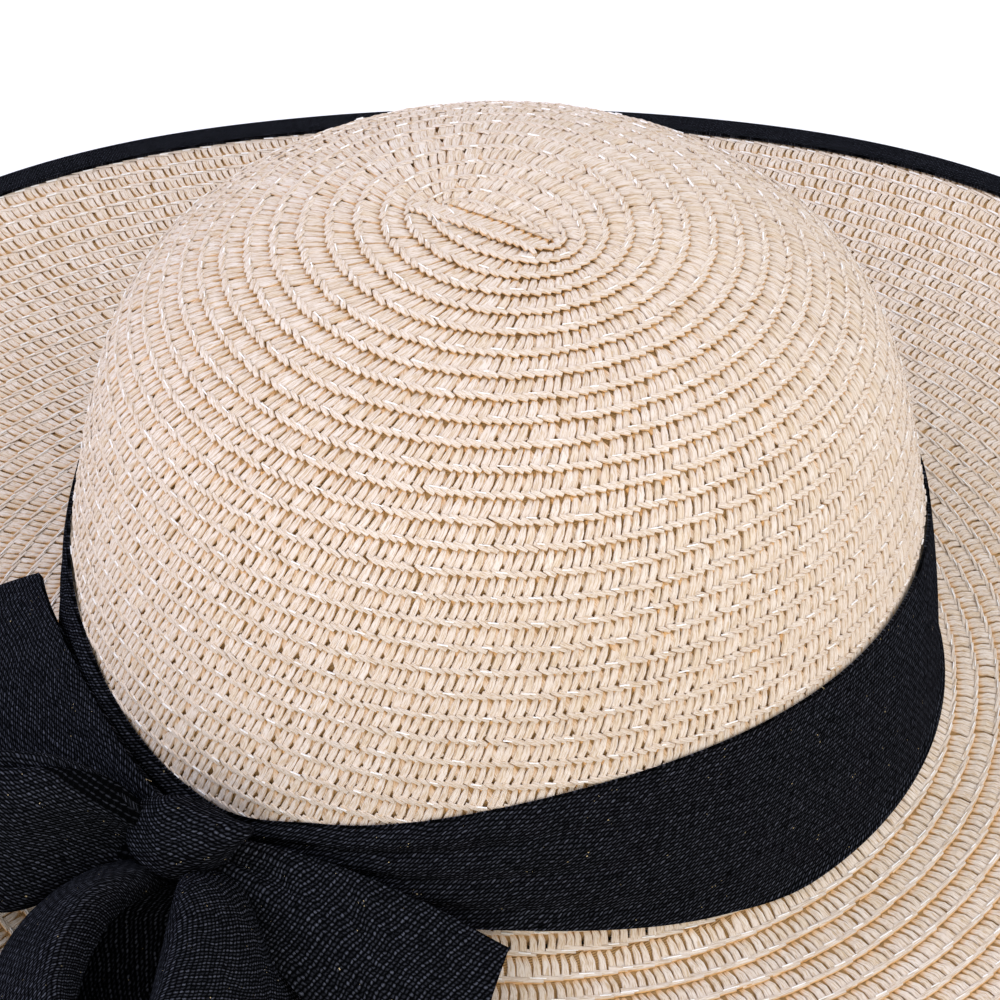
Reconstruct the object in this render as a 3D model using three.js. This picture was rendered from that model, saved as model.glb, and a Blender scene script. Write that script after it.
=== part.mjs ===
// Wide-brimmed sun hat of spiral-sewn braid, with a bound edge and a cloth band tied in a bow.
// Millimetres, +Z up. The Z axis is the crown's axis, and the flat ring under the brim lies on z = 0.
// Angles are plan angles in degrees, from +X towards +Y; the bow sits at the front left.

import * as THREE from 'three';
import { mergeVertices } from 'three/addons/utils/BufferGeometryUtils.js';

// Whole hat
const CROWN_HEIGHT = 125.5; // apex above the surface that the hat rests on
const EDGE_RADIUS = 229.5; // outside of the bound edge
const RING_SEGMENTS = 36; // facets round the crown and brim
const GAP = 0.3; // clearance between neighbouring pieces
const WELD = 1e-4; // vertices nearer than this are one

// Braid wall
const WALL = 2.2; // thickness of the sewn braid
const ROW_PITCH = 4.78; // distance from one braid row to the next
const LIP_RISE = 0.9; // height of a row's lip over the row that it overlaps
const LIP_SHARE = 0.85; // place of the lip across its row
const FIRST_ROW = 9.5; // run from the apex to the first full row
const RUN_STEP = 0.5; // step of the running sum along a wall line

// Steepness of the crown's outer line, by the run along it from the apex.
const CROWN_SLOPES = [
  { run: 0, degrees: 0 },
  { run: 18, degrees: 7 },
  { run: 36, degrees: 18.5 },
  { run: 54, degrees: 25.5 },
  { run: 72, degrees: 39 },
  { run: 90, degrees: 69 },
  { run: 110, degrees: 78 },
  { run: 125, degrees: 79 },
  { run: 140, degrees: 82 },
  { run: 165, degrees: 86 },
  { run: 180, degrees: 86 },
];
const INNER_RUNS = [24, 46, 64, 78, 90, 108, 138]; // rings of the plain inside
const LAST_CROWN_ROW = 138; // the rows below this run lie under the band

// Steepness of the brim's top line, by the run along it from the foot of the crown.
const BRIM_SLOPES = [
  { run: 0, degrees: 60 },
  { run: 6, degrees: 22 },
  { run: 14, degrees: 10 },
  { run: 36, degrees: 7 },
  { run: 72, degrees: 1.2 },
  { run: 78, degrees: 0 },
  { run: 150, degrees: 0 },
];
const REST_RUN = 78; // the underside is flat from here to the lifted edge
const UNDER_RUNS = [6, 14, 36, 60]; // rings of the plain underside, inside the flat ring

// Lifted edge of the brim
const LIFT_START = 188; // radius where the edge begins to lift
const EDGE_LIFT = 3; // mean lift at the edge
const EDGE_WAVE = 1.2; // half height of the edge's waves
const WAVES = 6; // waves round the edge
const LOW_WAVE_ANGLE = 90; // one low point of the waves

// Binding
const BINDING_CLOTH = 1; // thickness of the folded cloth
const BINDING_WIDTH = 8.7; // cover of each flap on the braid
const BINDING_ROUND = 1.1; // chamfer of the folded edge

// Band
const BAND_CLOTH = 1.2;
const BAND_TOP = 55;
const BAND_FOOT = 16.5;
const BAND_DIP = 18; // how far the top edge is drawn down at the knot
const BAND_RISE = 10; // how far the foot is drawn up at the knot
const DIP_SPREAD = 25; // half width of the drawn-in top edge, in degrees
const RISE_SPREAD = 38; // half width of the drawn-in foot, in degrees
const BAND_ROWS = 4; // facets across the band
const GATHER_SPREAD = 34; // half width of the gathers, in degrees
const FINE_REACH = 40; // the band has twice the facets this near to the knot
// Outward swell of each gather at the knot, by the place across the band.
const GATHERS = [
  { place: 0, swell: 0.2 },
  { place: 0.25, swell: 1.4 },
  { place: 0.5, swell: 0.2 },
  { place: 0.75, swell: 1.7 },
  { place: 1, swell: 0.3 },
];

// Knot
const KNOT_ANGLE = -125;
const KNOT_RADIUS = 101.6; // its middle from the crown's axis
const KNOT_LEVEL = 34; // its middle above the rest surface
const KNOT_HALF = { across: 12.5, out: 7.6, up: 10.5 };
const KNOT_SQUARENESS = 0.82; // 1 is an ellipsoid, less is squarer
const KNOT_WRAPS = 5; // ridges of the wrapped cloth
const KNOT_RIDGE = 0.045; // height of a ridge as a share of the knot's radius
const KNOT_FACETS = { round: 14, high: 9 };

// Bow cloth
const BOW_CLOTH = 1.1;
const PROBE = 1e-3; // step that finds a cloth's normal, as a share of its length or width
const LOOP_FACETS = { along: 18, across: 3 };
const LOOP_MOUTH = 1.7; // half distance between a loop's two ends
const LOOP_FULLNESS = 0.3; // the smaller, the sooner a loop swells beyond the knot
const LOOP_OPEN = 0.4; // share of the reach where the cloth has its full width
// A loop leaves the knot at a heading from straight outward, towards the right if positive.
const LOOPS = {
  bow_loop_left: {
    heading: -66, start: 12.6, reachTop: 78, reachFoot: 82, breadthTop: 7, breadthFoot: 14,
    halfStart: 6.5, halfWide: 15.5, level: -2, droop: 6,
  },
  bow_loop_lower: {
    heading: 22, start: 9.4, reachTop: 46, reachFoot: 78, breadthTop: 8, breadthFoot: 32,
    halfStart: 7.5, halfWide: 14.5, level: -1.5, droop: 11,
  },
};
const TAIL_FACETS = { along: 7, across: 6 };
// Sections of each tail from the knot to its cut end: the edge that lies by the band, the outer edge,
// and the swell of the fold between them. Angles and radii are about the crown's axis.
const TAILS = {
  bow_tail_upper: [
    { angle: -134, radius: 96.6, level: 36, outAngle: -135, outRadius: 103, outLevel: 28, fold: 0.3 },
    { angle: -146, radius: 95.6, level: 36.5, outAngle: -147, outRadius: 109, outLevel: 21, fold: 1.2 },
    { angle: -162, radius: 95.6, level: 36, outAngle: -160, outRadius: 119, outLevel: 13.5, fold: 2 },
    { angle: -178, radius: 96.4, level: 34, outAngle: -172, outRadius: 130, outLevel: 6.6, fold: 2.4 },
  ],
  bow_tail_right: [
    { angle: -115.6, radius: 96.6, level: 37.5, outAngle: -117.5, outRadius: 108, outLevel: 27, fold: 0.3 },
    { angle: -107, radius: 96, level: 36, outAngle: -109.5, outRadius: 119, outLevel: 20, fold: 1.4 },
    { angle: -97.5, radius: 97, level: 30.5, outAngle: -101.5, outRadius: 127, outLevel: 13, fold: 2.4 },
    { angle: -88.9, radius: 99.5, level: 23, outAngle: -93.5, outRadius: 132, outLevel: 7.4, fold: 2.8 },
  ],
};

const BRAID = new THREE.MeshStandardMaterial({ color: 0xe6cfae, roughness: 0.8, metalness: 0 });
const BINDING = new THREE.MeshStandardMaterial({ color: 0x0d0d10, roughness: 0.9, metalness: 0 });
const LINEN = new THREE.MeshStandardMaterial({ color: 0x101116, roughness: 0.85, metalness: 0 });

const radians = THREE.MathUtils.degToRad;
const { lerp, smoothstep } = THREE.MathUtils;

// Value of one column of a table at a place along another, by straight lines between its rows.
function lookUp(table, placeKey, valueKey, place) {
  const next = table.findIndex((row) => row[placeKey] >= place);
  if (next === 0) return table[0][valueKey];
  if (next < 0) return table[table.length - 1][valueKey];
  const [a, b] = [table[next - 1], table[next]];
  const share = (place - a[placeKey]) / (b[placeKey] - a[placeKey]);
  return lerp(a[valueKey], b[valueKey], share);
}

// Wall line from a table of slopes: its points by run, each with radius, drop and slope.
function wallLine(slopes, startRadius) {
  const line = [];
  let [radius, drop] = [startRadius, 0];
  const end = slopes[slopes.length - 1].run;
  for (let run = 0; run <= end; run += RUN_STEP) {
    line.push({ run, radius, drop, slope: radians(lookUp(slopes, 'run', 'degrees', run)) });
    const middle = radians(lookUp(slopes, 'run', 'degrees', run + RUN_STEP / 2));
    radius += Math.cos(middle) * RUN_STEP;
    drop += Math.sin(middle) * RUN_STEP;
  }
  return line;
}

// Profile point at a run of a wall line, moved off the line along its outward normal.
function profilePoint(line, topLevel, run, offset) {
  const slope = lookUp(line, 'run', 'slope', run);
  const radius = lookUp(line, 'run', 'radius', run) + Math.sin(slope) * offset;
  const level = topLevel - lookUp(line, 'run', 'drop', run) + Math.cos(slope) * offset;
  return new THREE.Vector2(Math.max(radius, 0), level);
}

// Sawtooth profile of braid rows: each row climbs from its hollow to its lip.
function braidRows(line, topLevel, firstRun, lastRun) {
  const points = [];
  for (let run = firstRun; run + ROW_PITCH <= lastRun; run += ROW_PITCH) {
    points.push(profilePoint(line, topLevel, run, -LIP_RISE / 2));
    points.push(profilePoint(line, topLevel, run + LIP_SHARE * ROW_PITCH, LIP_RISE / 2));
  }
  return points;
}

// Closed mesh whose shared vertices are merged and whose faces point out.
function closedMesh(name, geometry, material) {
  geometry.deleteAttribute('normal');
  geometry.deleteAttribute('uv');
  const merged = mergeVertices(geometry, WELD);
  const place = merged.getAttribute('position');
  const index = Array.from(merged.getIndex().array);
  const corners = [new THREE.Vector3(), new THREE.Vector3(), new THREE.Vector3()];
  const faces = [];
  let volume = 0;
  for (let i = 0; i < index.length; i += 3) {
    const face = index.slice(i, i + 3);
    if (new Set(face).size < 3) continue;
    corners.forEach((corner, k) => corner.fromBufferAttribute(place, face[k]));
    volume += corners[0].dot(corners[1].clone().cross(corners[2]));
    faces.push(face);
  }
  merged.setIndex(faces.flatMap((face) => (volume < 0 ? [face[0], face[2], face[1]] : face)));
  merged.computeVertexNormals();
  const mesh = new THREE.Mesh(merged, material);
  mesh.name = name;
  return mesh;
}

// Ring turned from a profile of radius and level about the Z axis.
function turned(profile) {
  return new THREE.LatheGeometry(profile, RING_SEGMENTS).rotateX(Math.PI / 2);
}

// Raises the outer brim of a turned ring along the edge's waves.
function liftEdge(geometry) {
  const place = geometry.getAttribute('position');
  for (let i = 0; i < place.count; i += 1) {
    const [x, y] = [place.getX(i), place.getY(i)];
    const share = smoothstep(Math.hypot(x, y), LIFT_START, EDGE_RADIUS);
    const wave = Math.cos(WAVES * (Math.atan2(y, x) - radians(LOW_WAVE_ANGLE)));
    place.setZ(i, place.getZ(i) + share * (EDGE_LIFT - EDGE_WAVE * wave));
  }
  return geometry;
}

// Thin closed sheet from pairs of front and back points on a grid, closed into a ring if asked.
function sheet(columns, rows, pairAt, ring = false) {
  const points = [];
  const index = [];
  const stride = rows + 1;
  const back = (columns + 1) * stride;
  const at = (i, j, side) => side * back + (ring ? i % columns : i) * stride + j;
  const quad = (a, b, c, d) => index.push(a, b, c, a, c, d);
  const grid = [];
  for (let i = 0; i <= columns; i += 1) {
    for (let j = 0; j <= rows; j += 1) grid.push(pairAt(i, j));
  }
  grid.forEach((pair) => points.push(...pair.front.toArray()));
  grid.forEach((pair) => points.push(...pair.back.toArray()));
  for (let i = 0; i < columns; i += 1) {
    for (let j = 0; j < rows; j += 1) {
      quad(at(i, j, 0), at(i + 1, j, 0), at(i + 1, j + 1, 0), at(i, j + 1, 0));
      quad(at(i, j, 1), at(i, j + 1, 1), at(i + 1, j + 1, 1), at(i + 1, j, 1));
    }
    quad(at(i, 0, 0), at(i, 0, 1), at(i + 1, 0, 1), at(i + 1, 0, 0));
    quad(at(i, rows, 0), at(i + 1, rows, 0), at(i + 1, rows, 1), at(i, rows, 1));
  }
  for (let j = 0; j < rows && !ring; j += 1) {
    quad(at(0, j, 0), at(0, j + 1, 0), at(0, j + 1, 1), at(0, j, 1));
    quad(at(columns, j, 0), at(columns, j, 1), at(columns, j + 1, 1), at(columns, j + 1, 0));
  }
  const geometry = new THREE.BufferGeometry();
  geometry.setAttribute('position', new THREE.Float32BufferAttribute(points, 3));
  geometry.setIndex(index);
  return geometry;
}

// Front and back of a cloth at one place of its middle surface, by the surface's normal there.
function clothPair(surface, u, v, thickness) {
  const [before, after] = [Math.max(u - PROBE, 0), Math.min(u + PROBE, 1)];
  const along = surface(after, v).sub(surface(before, v));
  const across = surface(u, v + PROBE).sub(surface(u, v - PROBE));
  const half = along.cross(across).normalize().multiplyScalar(thickness / 2);
  const middle = surface(u, v);
  return { front: middle.clone().add(half), back: middle.clone().sub(half) };
}

// Point at a plan angle, radius and level about the crown's axis.
function around(degrees, radius, level) {
  const turn = radians(degrees);
  return new THREE.Vector3(Math.cos(turn) * radius, Math.sin(turn) * radius, level);
}

// Turn from the knot to a plan angle, between -180 and 180 degrees.
function fromKnot(degrees) {
  return THREE.MathUtils.euclideanModulo(degrees - KNOT_ANGLE + 180, 360) - 180;
}

// Crown: an open-bottomed dome. Its foot stands one gap above the brim's inner edge.
const brimDrop = wallLine(BRIM_SLOPES, 0).find((point) => point.run >= REST_RUN).drop;
const brimTop = WALL + brimDrop; // level of the brim's inner edge
const crownLine = wallLine(CROWN_SLOPES, 0);
const footRun = lookUp(crownLine, 'drop', 'run', CROWN_HEIGHT - brimTop - GAP);
const footRadius = lookUp(crownLine, 'run', 'radius', footRun);

function crownSolid() {
  const outside = [new THREE.Vector2(0, CROWN_HEIGHT)];
  outside.push(...braidRows(crownLine, CROWN_HEIGHT, FIRST_ROW, LAST_CROWN_ROW));
  outside.push(profilePoint(crownLine, CROWN_HEIGHT, LAST_CROWN_ROW, -LIP_RISE / 2));
  const footLevel = brimTop + GAP;
  const foot = [
    new THREE.Vector2(footRadius, footLevel),
    new THREE.Vector2(footRadius - WALL, footLevel),
  ];
  const inside = INNER_RUNS.map((run) => profilePoint(crownLine, CROWN_HEIGHT, run, -WALL));
  const apex = new THREE.Vector2(0, CROWN_HEIGHT - WALL);
  return closedMesh('crown', turned([...outside, ...foot, ...inside.reverse(), apex]), BRAID);
}

// Brim: from the foot of the crown down to a flat ring, then up to the waved edge.
const brimLine = wallLine(BRIM_SLOPES, footRadius);
const braidEdge = EDGE_RADIUS - BINDING_CLOTH - GAP;
const edgeRun = lookUp(brimLine, 'radius', 'run', braidEdge);
const boundRun = edgeRun - BINDING_WIDTH; // the rows beyond this run lie under the binding
const liftRun = lookUp(brimLine, 'radius', 'run', LIFT_START);

function brimSolid() {
  const top = [new THREE.Vector2(footRadius, brimTop)];
  top.push(...braidRows(brimLine, brimTop, ROW_PITCH, boundRun));
  top.push(...[boundRun, edgeRun].map((run) => profilePoint(brimLine, brimTop, run, 0)));
  const liftedRuns = [edgeRun, boundRun, (boundRun + liftRun) / 2, liftRun];
  const underRuns = [...liftedRuns, REST_RUN, ...UNDER_RUNS.slice().reverse()];
  const under = underRuns.map((run) => profilePoint(brimLine, brimTop, run, -WALL));
  const inner = new THREE.Vector2(footRadius - WALL, brimTop);
  return closedMesh('brim', liftEdge(turned([...top, ...under, inner, top[0].clone()])), BRAID);
}

// Binding: cloth folded over the braid's edge, with a flap above and a flap below.
function bindingSolid() {
  const flapEdge = braidEdge - BINDING_WIDTH;
  const upperIn = WALL + GAP;
  const upperOut = upperIn + BINDING_CLOTH;
  const lowerOut = -GAP - BINDING_CLOTH;
  const profile = [
    [flapEdge, upperIn],
    [flapEdge, upperOut],
    [EDGE_RADIUS - BINDING_ROUND, upperOut],
    [EDGE_RADIUS, upperOut - BINDING_ROUND],
    [EDGE_RADIUS, lowerOut + BINDING_ROUND],
    [EDGE_RADIUS - BINDING_ROUND, lowerOut],
    [flapEdge, lowerOut],
    [flapEdge, -GAP],
    [braidEdge + GAP, -GAP],
    [braidEdge + GAP, upperIn],
    [flapEdge, upperIn],
  ].map(([radius, level]) => new THREE.Vector2(radius, level));
  return closedMesh('brim_binding', liftEdge(turned(profile)), BINDING);
}

// Outside radius of the crown's lips at a level.
function crownRadius(level) {
  return lookUp(crownLine, 'drop', 'radius', CROWN_HEIGHT - level) + LIP_RISE / 2;
}

// Band: a ring of cloth round the foot of the crown, drawn together and gathered at the knot.
function bandSolid() {
  const step = 360 / RING_SEGMENTS;
  const turns = [];
  for (let turn = 0; turn < 360; turn += step) {
    turns.push(turn);
    if (Math.abs(fromKnot(turn + step / 2)) < FINE_REACH) turns.push(turn + step / 2);
  }
  const pairAt = (i, j) => {
    const turn = turns[i % turns.length];
    const place = j / BAND_ROWS;
    const near = fromKnot(turn);
    const top = BAND_TOP - BAND_DIP * Math.exp(-0.5 * (near / DIP_SPREAD) ** 2);
    const foot = BAND_FOOT + BAND_RISE * Math.exp(-0.5 * (near / RISE_SPREAD) ** 2);
    const level = lerp(top, foot, place);
    const gather = lookUp(GATHERS, 'place', 'swell', place) * Math.exp(-((near / GATHER_SPREAD) ** 2));
    const inner = crownRadius(level) + GAP;
    return {
      front: around(turn, inner + BAND_CLOTH + gather, level),
      back: around(turn, inner, level),
    };
  };
  return closedMesh('hat_band', sheet(turns.length, BAND_ROWS, pairAt, true), LINEN);
}

// Point of the bow from the knot's middle: to the right along the band, outward, and up.
function bowPoint(across, out, up) {
  const turn = radians(KNOT_ANGLE);
  const middle = around(KNOT_ANGLE, KNOT_RADIUS, KNOT_LEVEL);
  const right = new THREE.Vector3(-Math.sin(turn), Math.cos(turn), 0);
  const outward = new THREE.Vector3(Math.cos(turn), Math.sin(turn), 0);
  middle.addScaledVector(right, across).addScaledVector(outward, out);
  return middle.add(new THREE.Vector3(0, 0, up));
}

// Knot: a rounded pad with the ridges of the cloth wrapped round it.
function knotSolid() {
  const geometry = new THREE.SphereGeometry(1, KNOT_FACETS.round, KNOT_FACETS.high);
  const place = geometry.getAttribute('position');
  const squared = (value) => Math.sign(value) * Math.abs(value) ** KNOT_SQUARENESS;
  for (let i = 0; i < place.count; i += 1) {
    const [x, y, z] = [place.getX(i), place.getY(i), place.getZ(i)];
    const ridge = 1 + KNOT_RIDGE * Math.cos(KNOT_WRAPS * Math.atan2(y, z));
    const point = bowPoint(
      KNOT_HALF.across * squared(x),
      KNOT_HALF.out * squared(z) * ridge,
      KNOT_HALF.up * squared(y) * ridge,
    );
    place.setXYZ(i, point.x, point.y, point.z);
  }
  return closedMesh('bow_knot', geometry, LINEN);
}

// Loop: a strip of cloth that leaves the knot, turns over at its reach and comes back.
function loopSolid(name, loop) {
  const heading = radians(loop.heading);
  const surface = (u, v) => {
    const phase = 2 * Math.PI * u;
    const share = (1 - Math.cos(phase)) / 2;
    const upward = 1 - 2 * v;
    const breadth = lerp(loop.breadthTop, loop.breadthFoot, v);
    const swell = Math.sin(phase) * share ** (LOOP_FULLNESS / 2);
    const side = LOOP_MOUTH * Math.cos(phase / 2) + breadth * swell;
    const forward = lerp(loop.start, lerp(loop.reachTop, loop.reachFoot, v), share);
    const half = lerp(loop.halfStart, loop.halfWide, smoothstep(share, 0, LOOP_OPEN));
    return bowPoint(
      forward * Math.sin(heading) + side * Math.cos(heading),
      forward * Math.cos(heading) - side * Math.sin(heading),
      loop.level - loop.droop * share + half * upward,
    );
  };
  const pairAt = (i, j) => clothPair(surface, i / LOOP_FACETS.along, j / LOOP_FACETS.across, BOW_CLOTH);
  return closedMesh(name, sheet(LOOP_FACETS.along, LOOP_FACETS.across, pairAt), LINEN);
}

// Tail: a fan of cloth between the edge by the band and the outer edge, with one soft fold.
function tailSolid(name, sections) {
  const line = (angle, radius, level) => new THREE.CatmullRomCurve3(
    sections.map((section) => around(section[angle], section[radius], section[level])),
  );
  const bandEdge = line('angle', 'radius', 'level');
  const outerEdge = line('outAngle', 'outRadius', 'outLevel');
  const folds = sections.map((section, i) => ({ place: i / (sections.length - 1), swell: section.fold }));
  const surface = (u, v) => {
    const point = bandEdge.getPoint(u).lerp(outerEdge.getPoint(u), v);
    point.z += lookUp(folds, 'place', 'swell', u) * (1 - Math.cos(2 * Math.PI * v)) / 2;
    return point;
  };
  const pairAt = (i, j) => clothPair(surface, i / TAIL_FACETS.along, j / TAIL_FACETS.across, BOW_CLOTH);
  return closedMesh(name, sheet(TAIL_FACETS.along, TAIL_FACETS.across, pairAt), LINEN);
}

const hat = new THREE.Group();
hat.add(crownSolid(), brimSolid(), bindingSolid(), bandSolid(), knotSolid());
for (const [name, loop] of Object.entries(LOOPS)) hat.add(loopSolid(name, loop));
for (const [name, sections] of Object.entries(TAILS)) hat.add(tailSolid(name, sections));

export default hat;
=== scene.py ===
"""Looks of a wide-brimmed sun hat sewn from one spiral of paper braid, with a bound edge and a tied band.

Sizes are in millimetres and angles in degrees unless a name says otherwise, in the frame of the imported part:
+Z up along the crown's axis, the brim resting on z = 0, and the bow at the front left. A plan angle is
counted from +X towards +Y. Meshes are made in metres.
"""

import logging
import math
from collections.abc import Callable
from dataclasses import dataclass, field
from enum import Enum

import bpy
import numpy as np
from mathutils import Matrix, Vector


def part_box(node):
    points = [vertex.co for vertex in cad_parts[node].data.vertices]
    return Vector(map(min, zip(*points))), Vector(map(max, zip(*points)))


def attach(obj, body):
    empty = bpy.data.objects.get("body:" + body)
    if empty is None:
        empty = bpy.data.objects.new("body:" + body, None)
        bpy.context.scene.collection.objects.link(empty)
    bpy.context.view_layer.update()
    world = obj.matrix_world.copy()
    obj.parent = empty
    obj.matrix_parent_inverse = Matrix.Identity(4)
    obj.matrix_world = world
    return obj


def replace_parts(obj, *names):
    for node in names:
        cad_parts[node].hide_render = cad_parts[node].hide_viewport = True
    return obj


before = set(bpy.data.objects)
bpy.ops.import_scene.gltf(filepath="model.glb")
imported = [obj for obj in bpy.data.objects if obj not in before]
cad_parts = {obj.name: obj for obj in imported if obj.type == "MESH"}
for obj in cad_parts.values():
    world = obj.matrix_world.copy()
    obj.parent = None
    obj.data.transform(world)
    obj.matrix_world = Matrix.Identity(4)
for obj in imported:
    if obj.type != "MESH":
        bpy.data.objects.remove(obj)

log = logging.getLogger("sun_hat")
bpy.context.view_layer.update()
MM = 0.001
TURN = 2 * math.pi
ROOT = "root"

# Sizes of the braid
WALL = 2.2  # thickness of the sewn braid
ROW_PITCH = 4.78  # distance from one braid row to the next
STRAND_PITCH = 1.775  # distance from one strand of the braid to the next
PAIR_SHIFT = 0.09  # how far the strands of a pair move towards each other
PLACE_SPREAD = 0.06  # unevenness of the strands' places along the row
SLIDE_SPREAD = 0.1  # unevenness of their places across it
LIFT_SPREAD = 0.07  # unevenness of their heights
WIDTH_SPREAD = 0.08  # unevenness of their widths, as a share
STREAK_RUN = 2.4  # how far the streaks are counted from one end of a strand to the other
STITCH_STEPS = (0.6, 1.4)  # shortest and longest step between stitches, as shares of their spacing
RUN_STEP = 0.5  # step of the running sum along a wall line
RING_STEP = 4.0  # run from one ring of a wall to the next
LEAST_RUN = 0.02  # least run from the apex that the spiral takes
STEPS_A_TURN = 240  # steps of a turn by which the spiral is measured

# Steepness of the crown's outer line in degrees, by the run along it from the apex.
CROWN_SLOPES = (
    (0, 0), (18, 7), (36, 18.5), (54, 25.5), (72, 39), (90, 69),
    (110, 78), (125, 79), (140, 82), (165, 86), (180, 86),
)
# Steepness of the brim's top line in degrees, by the run along it from the foot of the crown.
BRIM_SLOPES = ((-20, 86), (-0.7, 86), (0, 60), (6, 22), (14, 10), (36, 7), (72, 1.2), (78, 0), (150, 0))

# Lifted edge of the brim
LIFT_START = 188  # radius where the edge begins to lift
EDGE_LIFT = 3  # mean lift at the edge
EDGE_WAVE = 1.2  # half height of the edge's waves
WAVES = 6  # waves round the edge
LOW_WAVE_ANGLE = 90  # one low point of the waves
SIDE_LIFT = 2.0  # further lift away from the back
SIDE_TURNS = (12, 38)  # turns from the back between which that lift grows

# Place of the bow
KNOT_ANGLE = -125
KNOT_RADIUS = 101.6
KNOT_LEVEL = 34

BLACK = (0, 0, 0)
WHITE = (1, 1, 1)

Points = np.ndarray
Faces = list[np.ndarray]
Pair = tuple[float, float]
Triple = tuple[float, float, float]
Four = tuple[float, float, float, float]
Colour = tuple[float, float, float]
Material = bpy.types.Material
Socket = bpy.types.NodeSocket


class Slot(Enum):
    """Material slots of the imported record."""

    BRAID = "braid"
    BINDING = "binding"
    LINEN = "linen"


class Held(Enum):
    """Ways in which the hat's sheets of cloth are held."""

    FOLDED = "folded"
    GATHERED = "gathered"


def smooth_step(value: np.ndarray, start: float, end: float) -> np.ndarray:
    """Share from 0 to 1 between start and end, level at both: three times its square less twice its cube."""
    share = np.clip((value - start) / (end - start), 0, 1)
    return share * share * (3 - 2 * share)


def mix(a: np.ndarray | float, b: np.ndarray | float, share: np.ndarray | float) -> np.ndarray:
    """Value between a and b, by straight proportion."""
    return a + (b - a) * share


def bell(value: np.ndarray, spread: float) -> np.ndarray:
    """Bell curve of height 1 about nought, with the spread as its standard deviation."""
    return np.exp(-0.5 * (value / spread) ** 2)


def from_knot(degrees: np.ndarray) -> np.ndarray:
    """Turn from the knot to a plan angle, between -180 and 180 degrees."""
    return np.mod(degrees - KNOT_ANGLE + 180, 360) - 180


def edge_lift(radius: np.ndarray, angle: np.ndarray) -> np.ndarray:
    """Lift of the outer brim: a smooth step by radius times the mean lift less the edge's waves.

    Args:
        radius: distance from the crown's axis.
        angle: plan angle in radians.

    Returns:
        The lift in millimetres.
    """
    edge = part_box("brim_binding")[1].x / MM
    turn = angle - math.radians(LOW_WAVE_ANGLE)
    from_back = np.degrees(np.abs(np.arctan2(np.sin(turn), np.cos(turn))))
    lift = EDGE_LIFT + SIDE_LIFT * smooth_step(from_back, *SIDE_TURNS) - EDGE_WAVE * np.cos(WAVES * turn)
    return smooth_step(radius, LIFT_START, edge) * lift


def around(degrees: np.ndarray, radius: np.ndarray, level: np.ndarray) -> Points:
    """Points at plan angles, radii and levels about the crown's axis."""
    turn = np.radians(degrees)
    return np.stack(np.broadcast_arrays(np.cos(turn) * radius, np.sin(turn) * radius, level), -1)


def bow_point(across: np.ndarray, out: np.ndarray, up: np.ndarray) -> Points:
    """Points of the bow, set off from the knot's middle and turned to its plan angle.

    Args:
        across: way to the right along the band.
        out: way outward.
        up: way up.

    Returns:
        The points, in the shape that the three ways share.
    """
    turn = math.radians(KNOT_ANGLE)
    x = math.cos(turn) * (KNOT_RADIUS + out) - math.sin(turn) * across
    y = math.sin(turn) * (KNOT_RADIUS + out) + math.cos(turn) * across
    return np.stack(np.broadcast_arrays(x, y, KNOT_LEVEL + up), -1)


def smooth_rows(rows: np.ndarray, count: int) -> np.ndarray:
    """Rows along the smooth curve through given rows: cubics whose slope is half the step between neighbours.

    Args:
        rows: the rows of values that the curve passes through.
        count: how many rows to return.

    Returns:
        The rows at even steps along the curve.
    """
    place = np.linspace(0, len(rows) - 1, count)
    first = np.minimum(place.astype(int), len(rows) - 2)
    f = (place - first).reshape(-1, *[1] * (rows.ndim - 1))
    a, b, c, d = (rows[np.clip(first + k, 0, len(rows) - 1)] for k in (-1, 0, 1, 2))
    return b + 0.5 * f * (c - a + f * (2 * a - 5 * b + 4 * c - d + f * (3 * (b - c) + d - a)))


# Meshes


def outward(points: Points, faces: Faces) -> Faces:
    """Turns all faces over if the volume that they enclose comes out negative.

    Args:
        points: vertices.
        faces: arrays of three or four vertex numbers a face.

    Returns:
        The faces, pointing out.
    """
    volume = 0.0
    for group in faces:
        for k in range(1, group.shape[1] - 1):
            a, b, c = points[group[:, 0]], points[group[:, k]], points[group[:, k + 1]]
            volume += float((a * np.cross(b, c)).sum())
    return [group[:, ::-1] for group in faces] if volume < 0 else faces


def make_piece(
    name: str,
    points: Points,
    faces: Faces,
    finish: Material,
    attributes: dict[str, np.ndarray],
    smooth: bool = True,
) -> bpy.types.Object:
    """Makes one object at the origin that rides on the hat's only body.

    Args:
        name: the piece's name.
        points: vertices in millimetres.
        faces: arrays of three or four vertex numbers a face.
        finish: its material.
        attributes: point attributes by name, one number or three for each vertex.
        smooth: whether it is smooth-shaded.

    Returns:
        The new object.
    """
    points = points.reshape(-1, 3)
    faces = outward(points, faces)
    corners = np.concatenate([group.ravel() for group in faces])
    sizes = np.concatenate([np.full(len(group), group.shape[1]) for group in faces])
    starts = np.concatenate(([0], np.cumsum(sizes)[:-1]))
    mesh = bpy.data.meshes.new(name)
    mesh.vertices.add(len(points))
    mesh.vertices.foreach_set("co", (points * MM).astype(np.float32).ravel())
    mesh.loops.add(len(corners))
    mesh.loops.foreach_set("vertex_index", corners.astype(np.int32))
    mesh.polygons.add(len(sizes))
    mesh.polygons.foreach_set("loop_start", starts.astype(np.int32))
    mesh.polygons.foreach_set("use_smooth", np.full(len(sizes), smooth))
    for key, values in attributes.items():
        vector = values.ndim > 1
        layer = mesh.attributes.new(key, "FLOAT_VECTOR" if vector else "FLOAT", "POINT")
        layer.data.foreach_set("vector" if vector else "value", values.astype(np.float32).ravel())
    mesh.update(calc_edges=True)
    mesh.validate()
    mesh.materials.append(finish)
    piece = bpy.data.objects.new(name, mesh)
    bpy.context.scene.collection.objects.link(piece)
    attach(piece, ROOT)
    log.info("%s: %d triangles", name, int((sizes - 2).sum()))
    return piece


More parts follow.
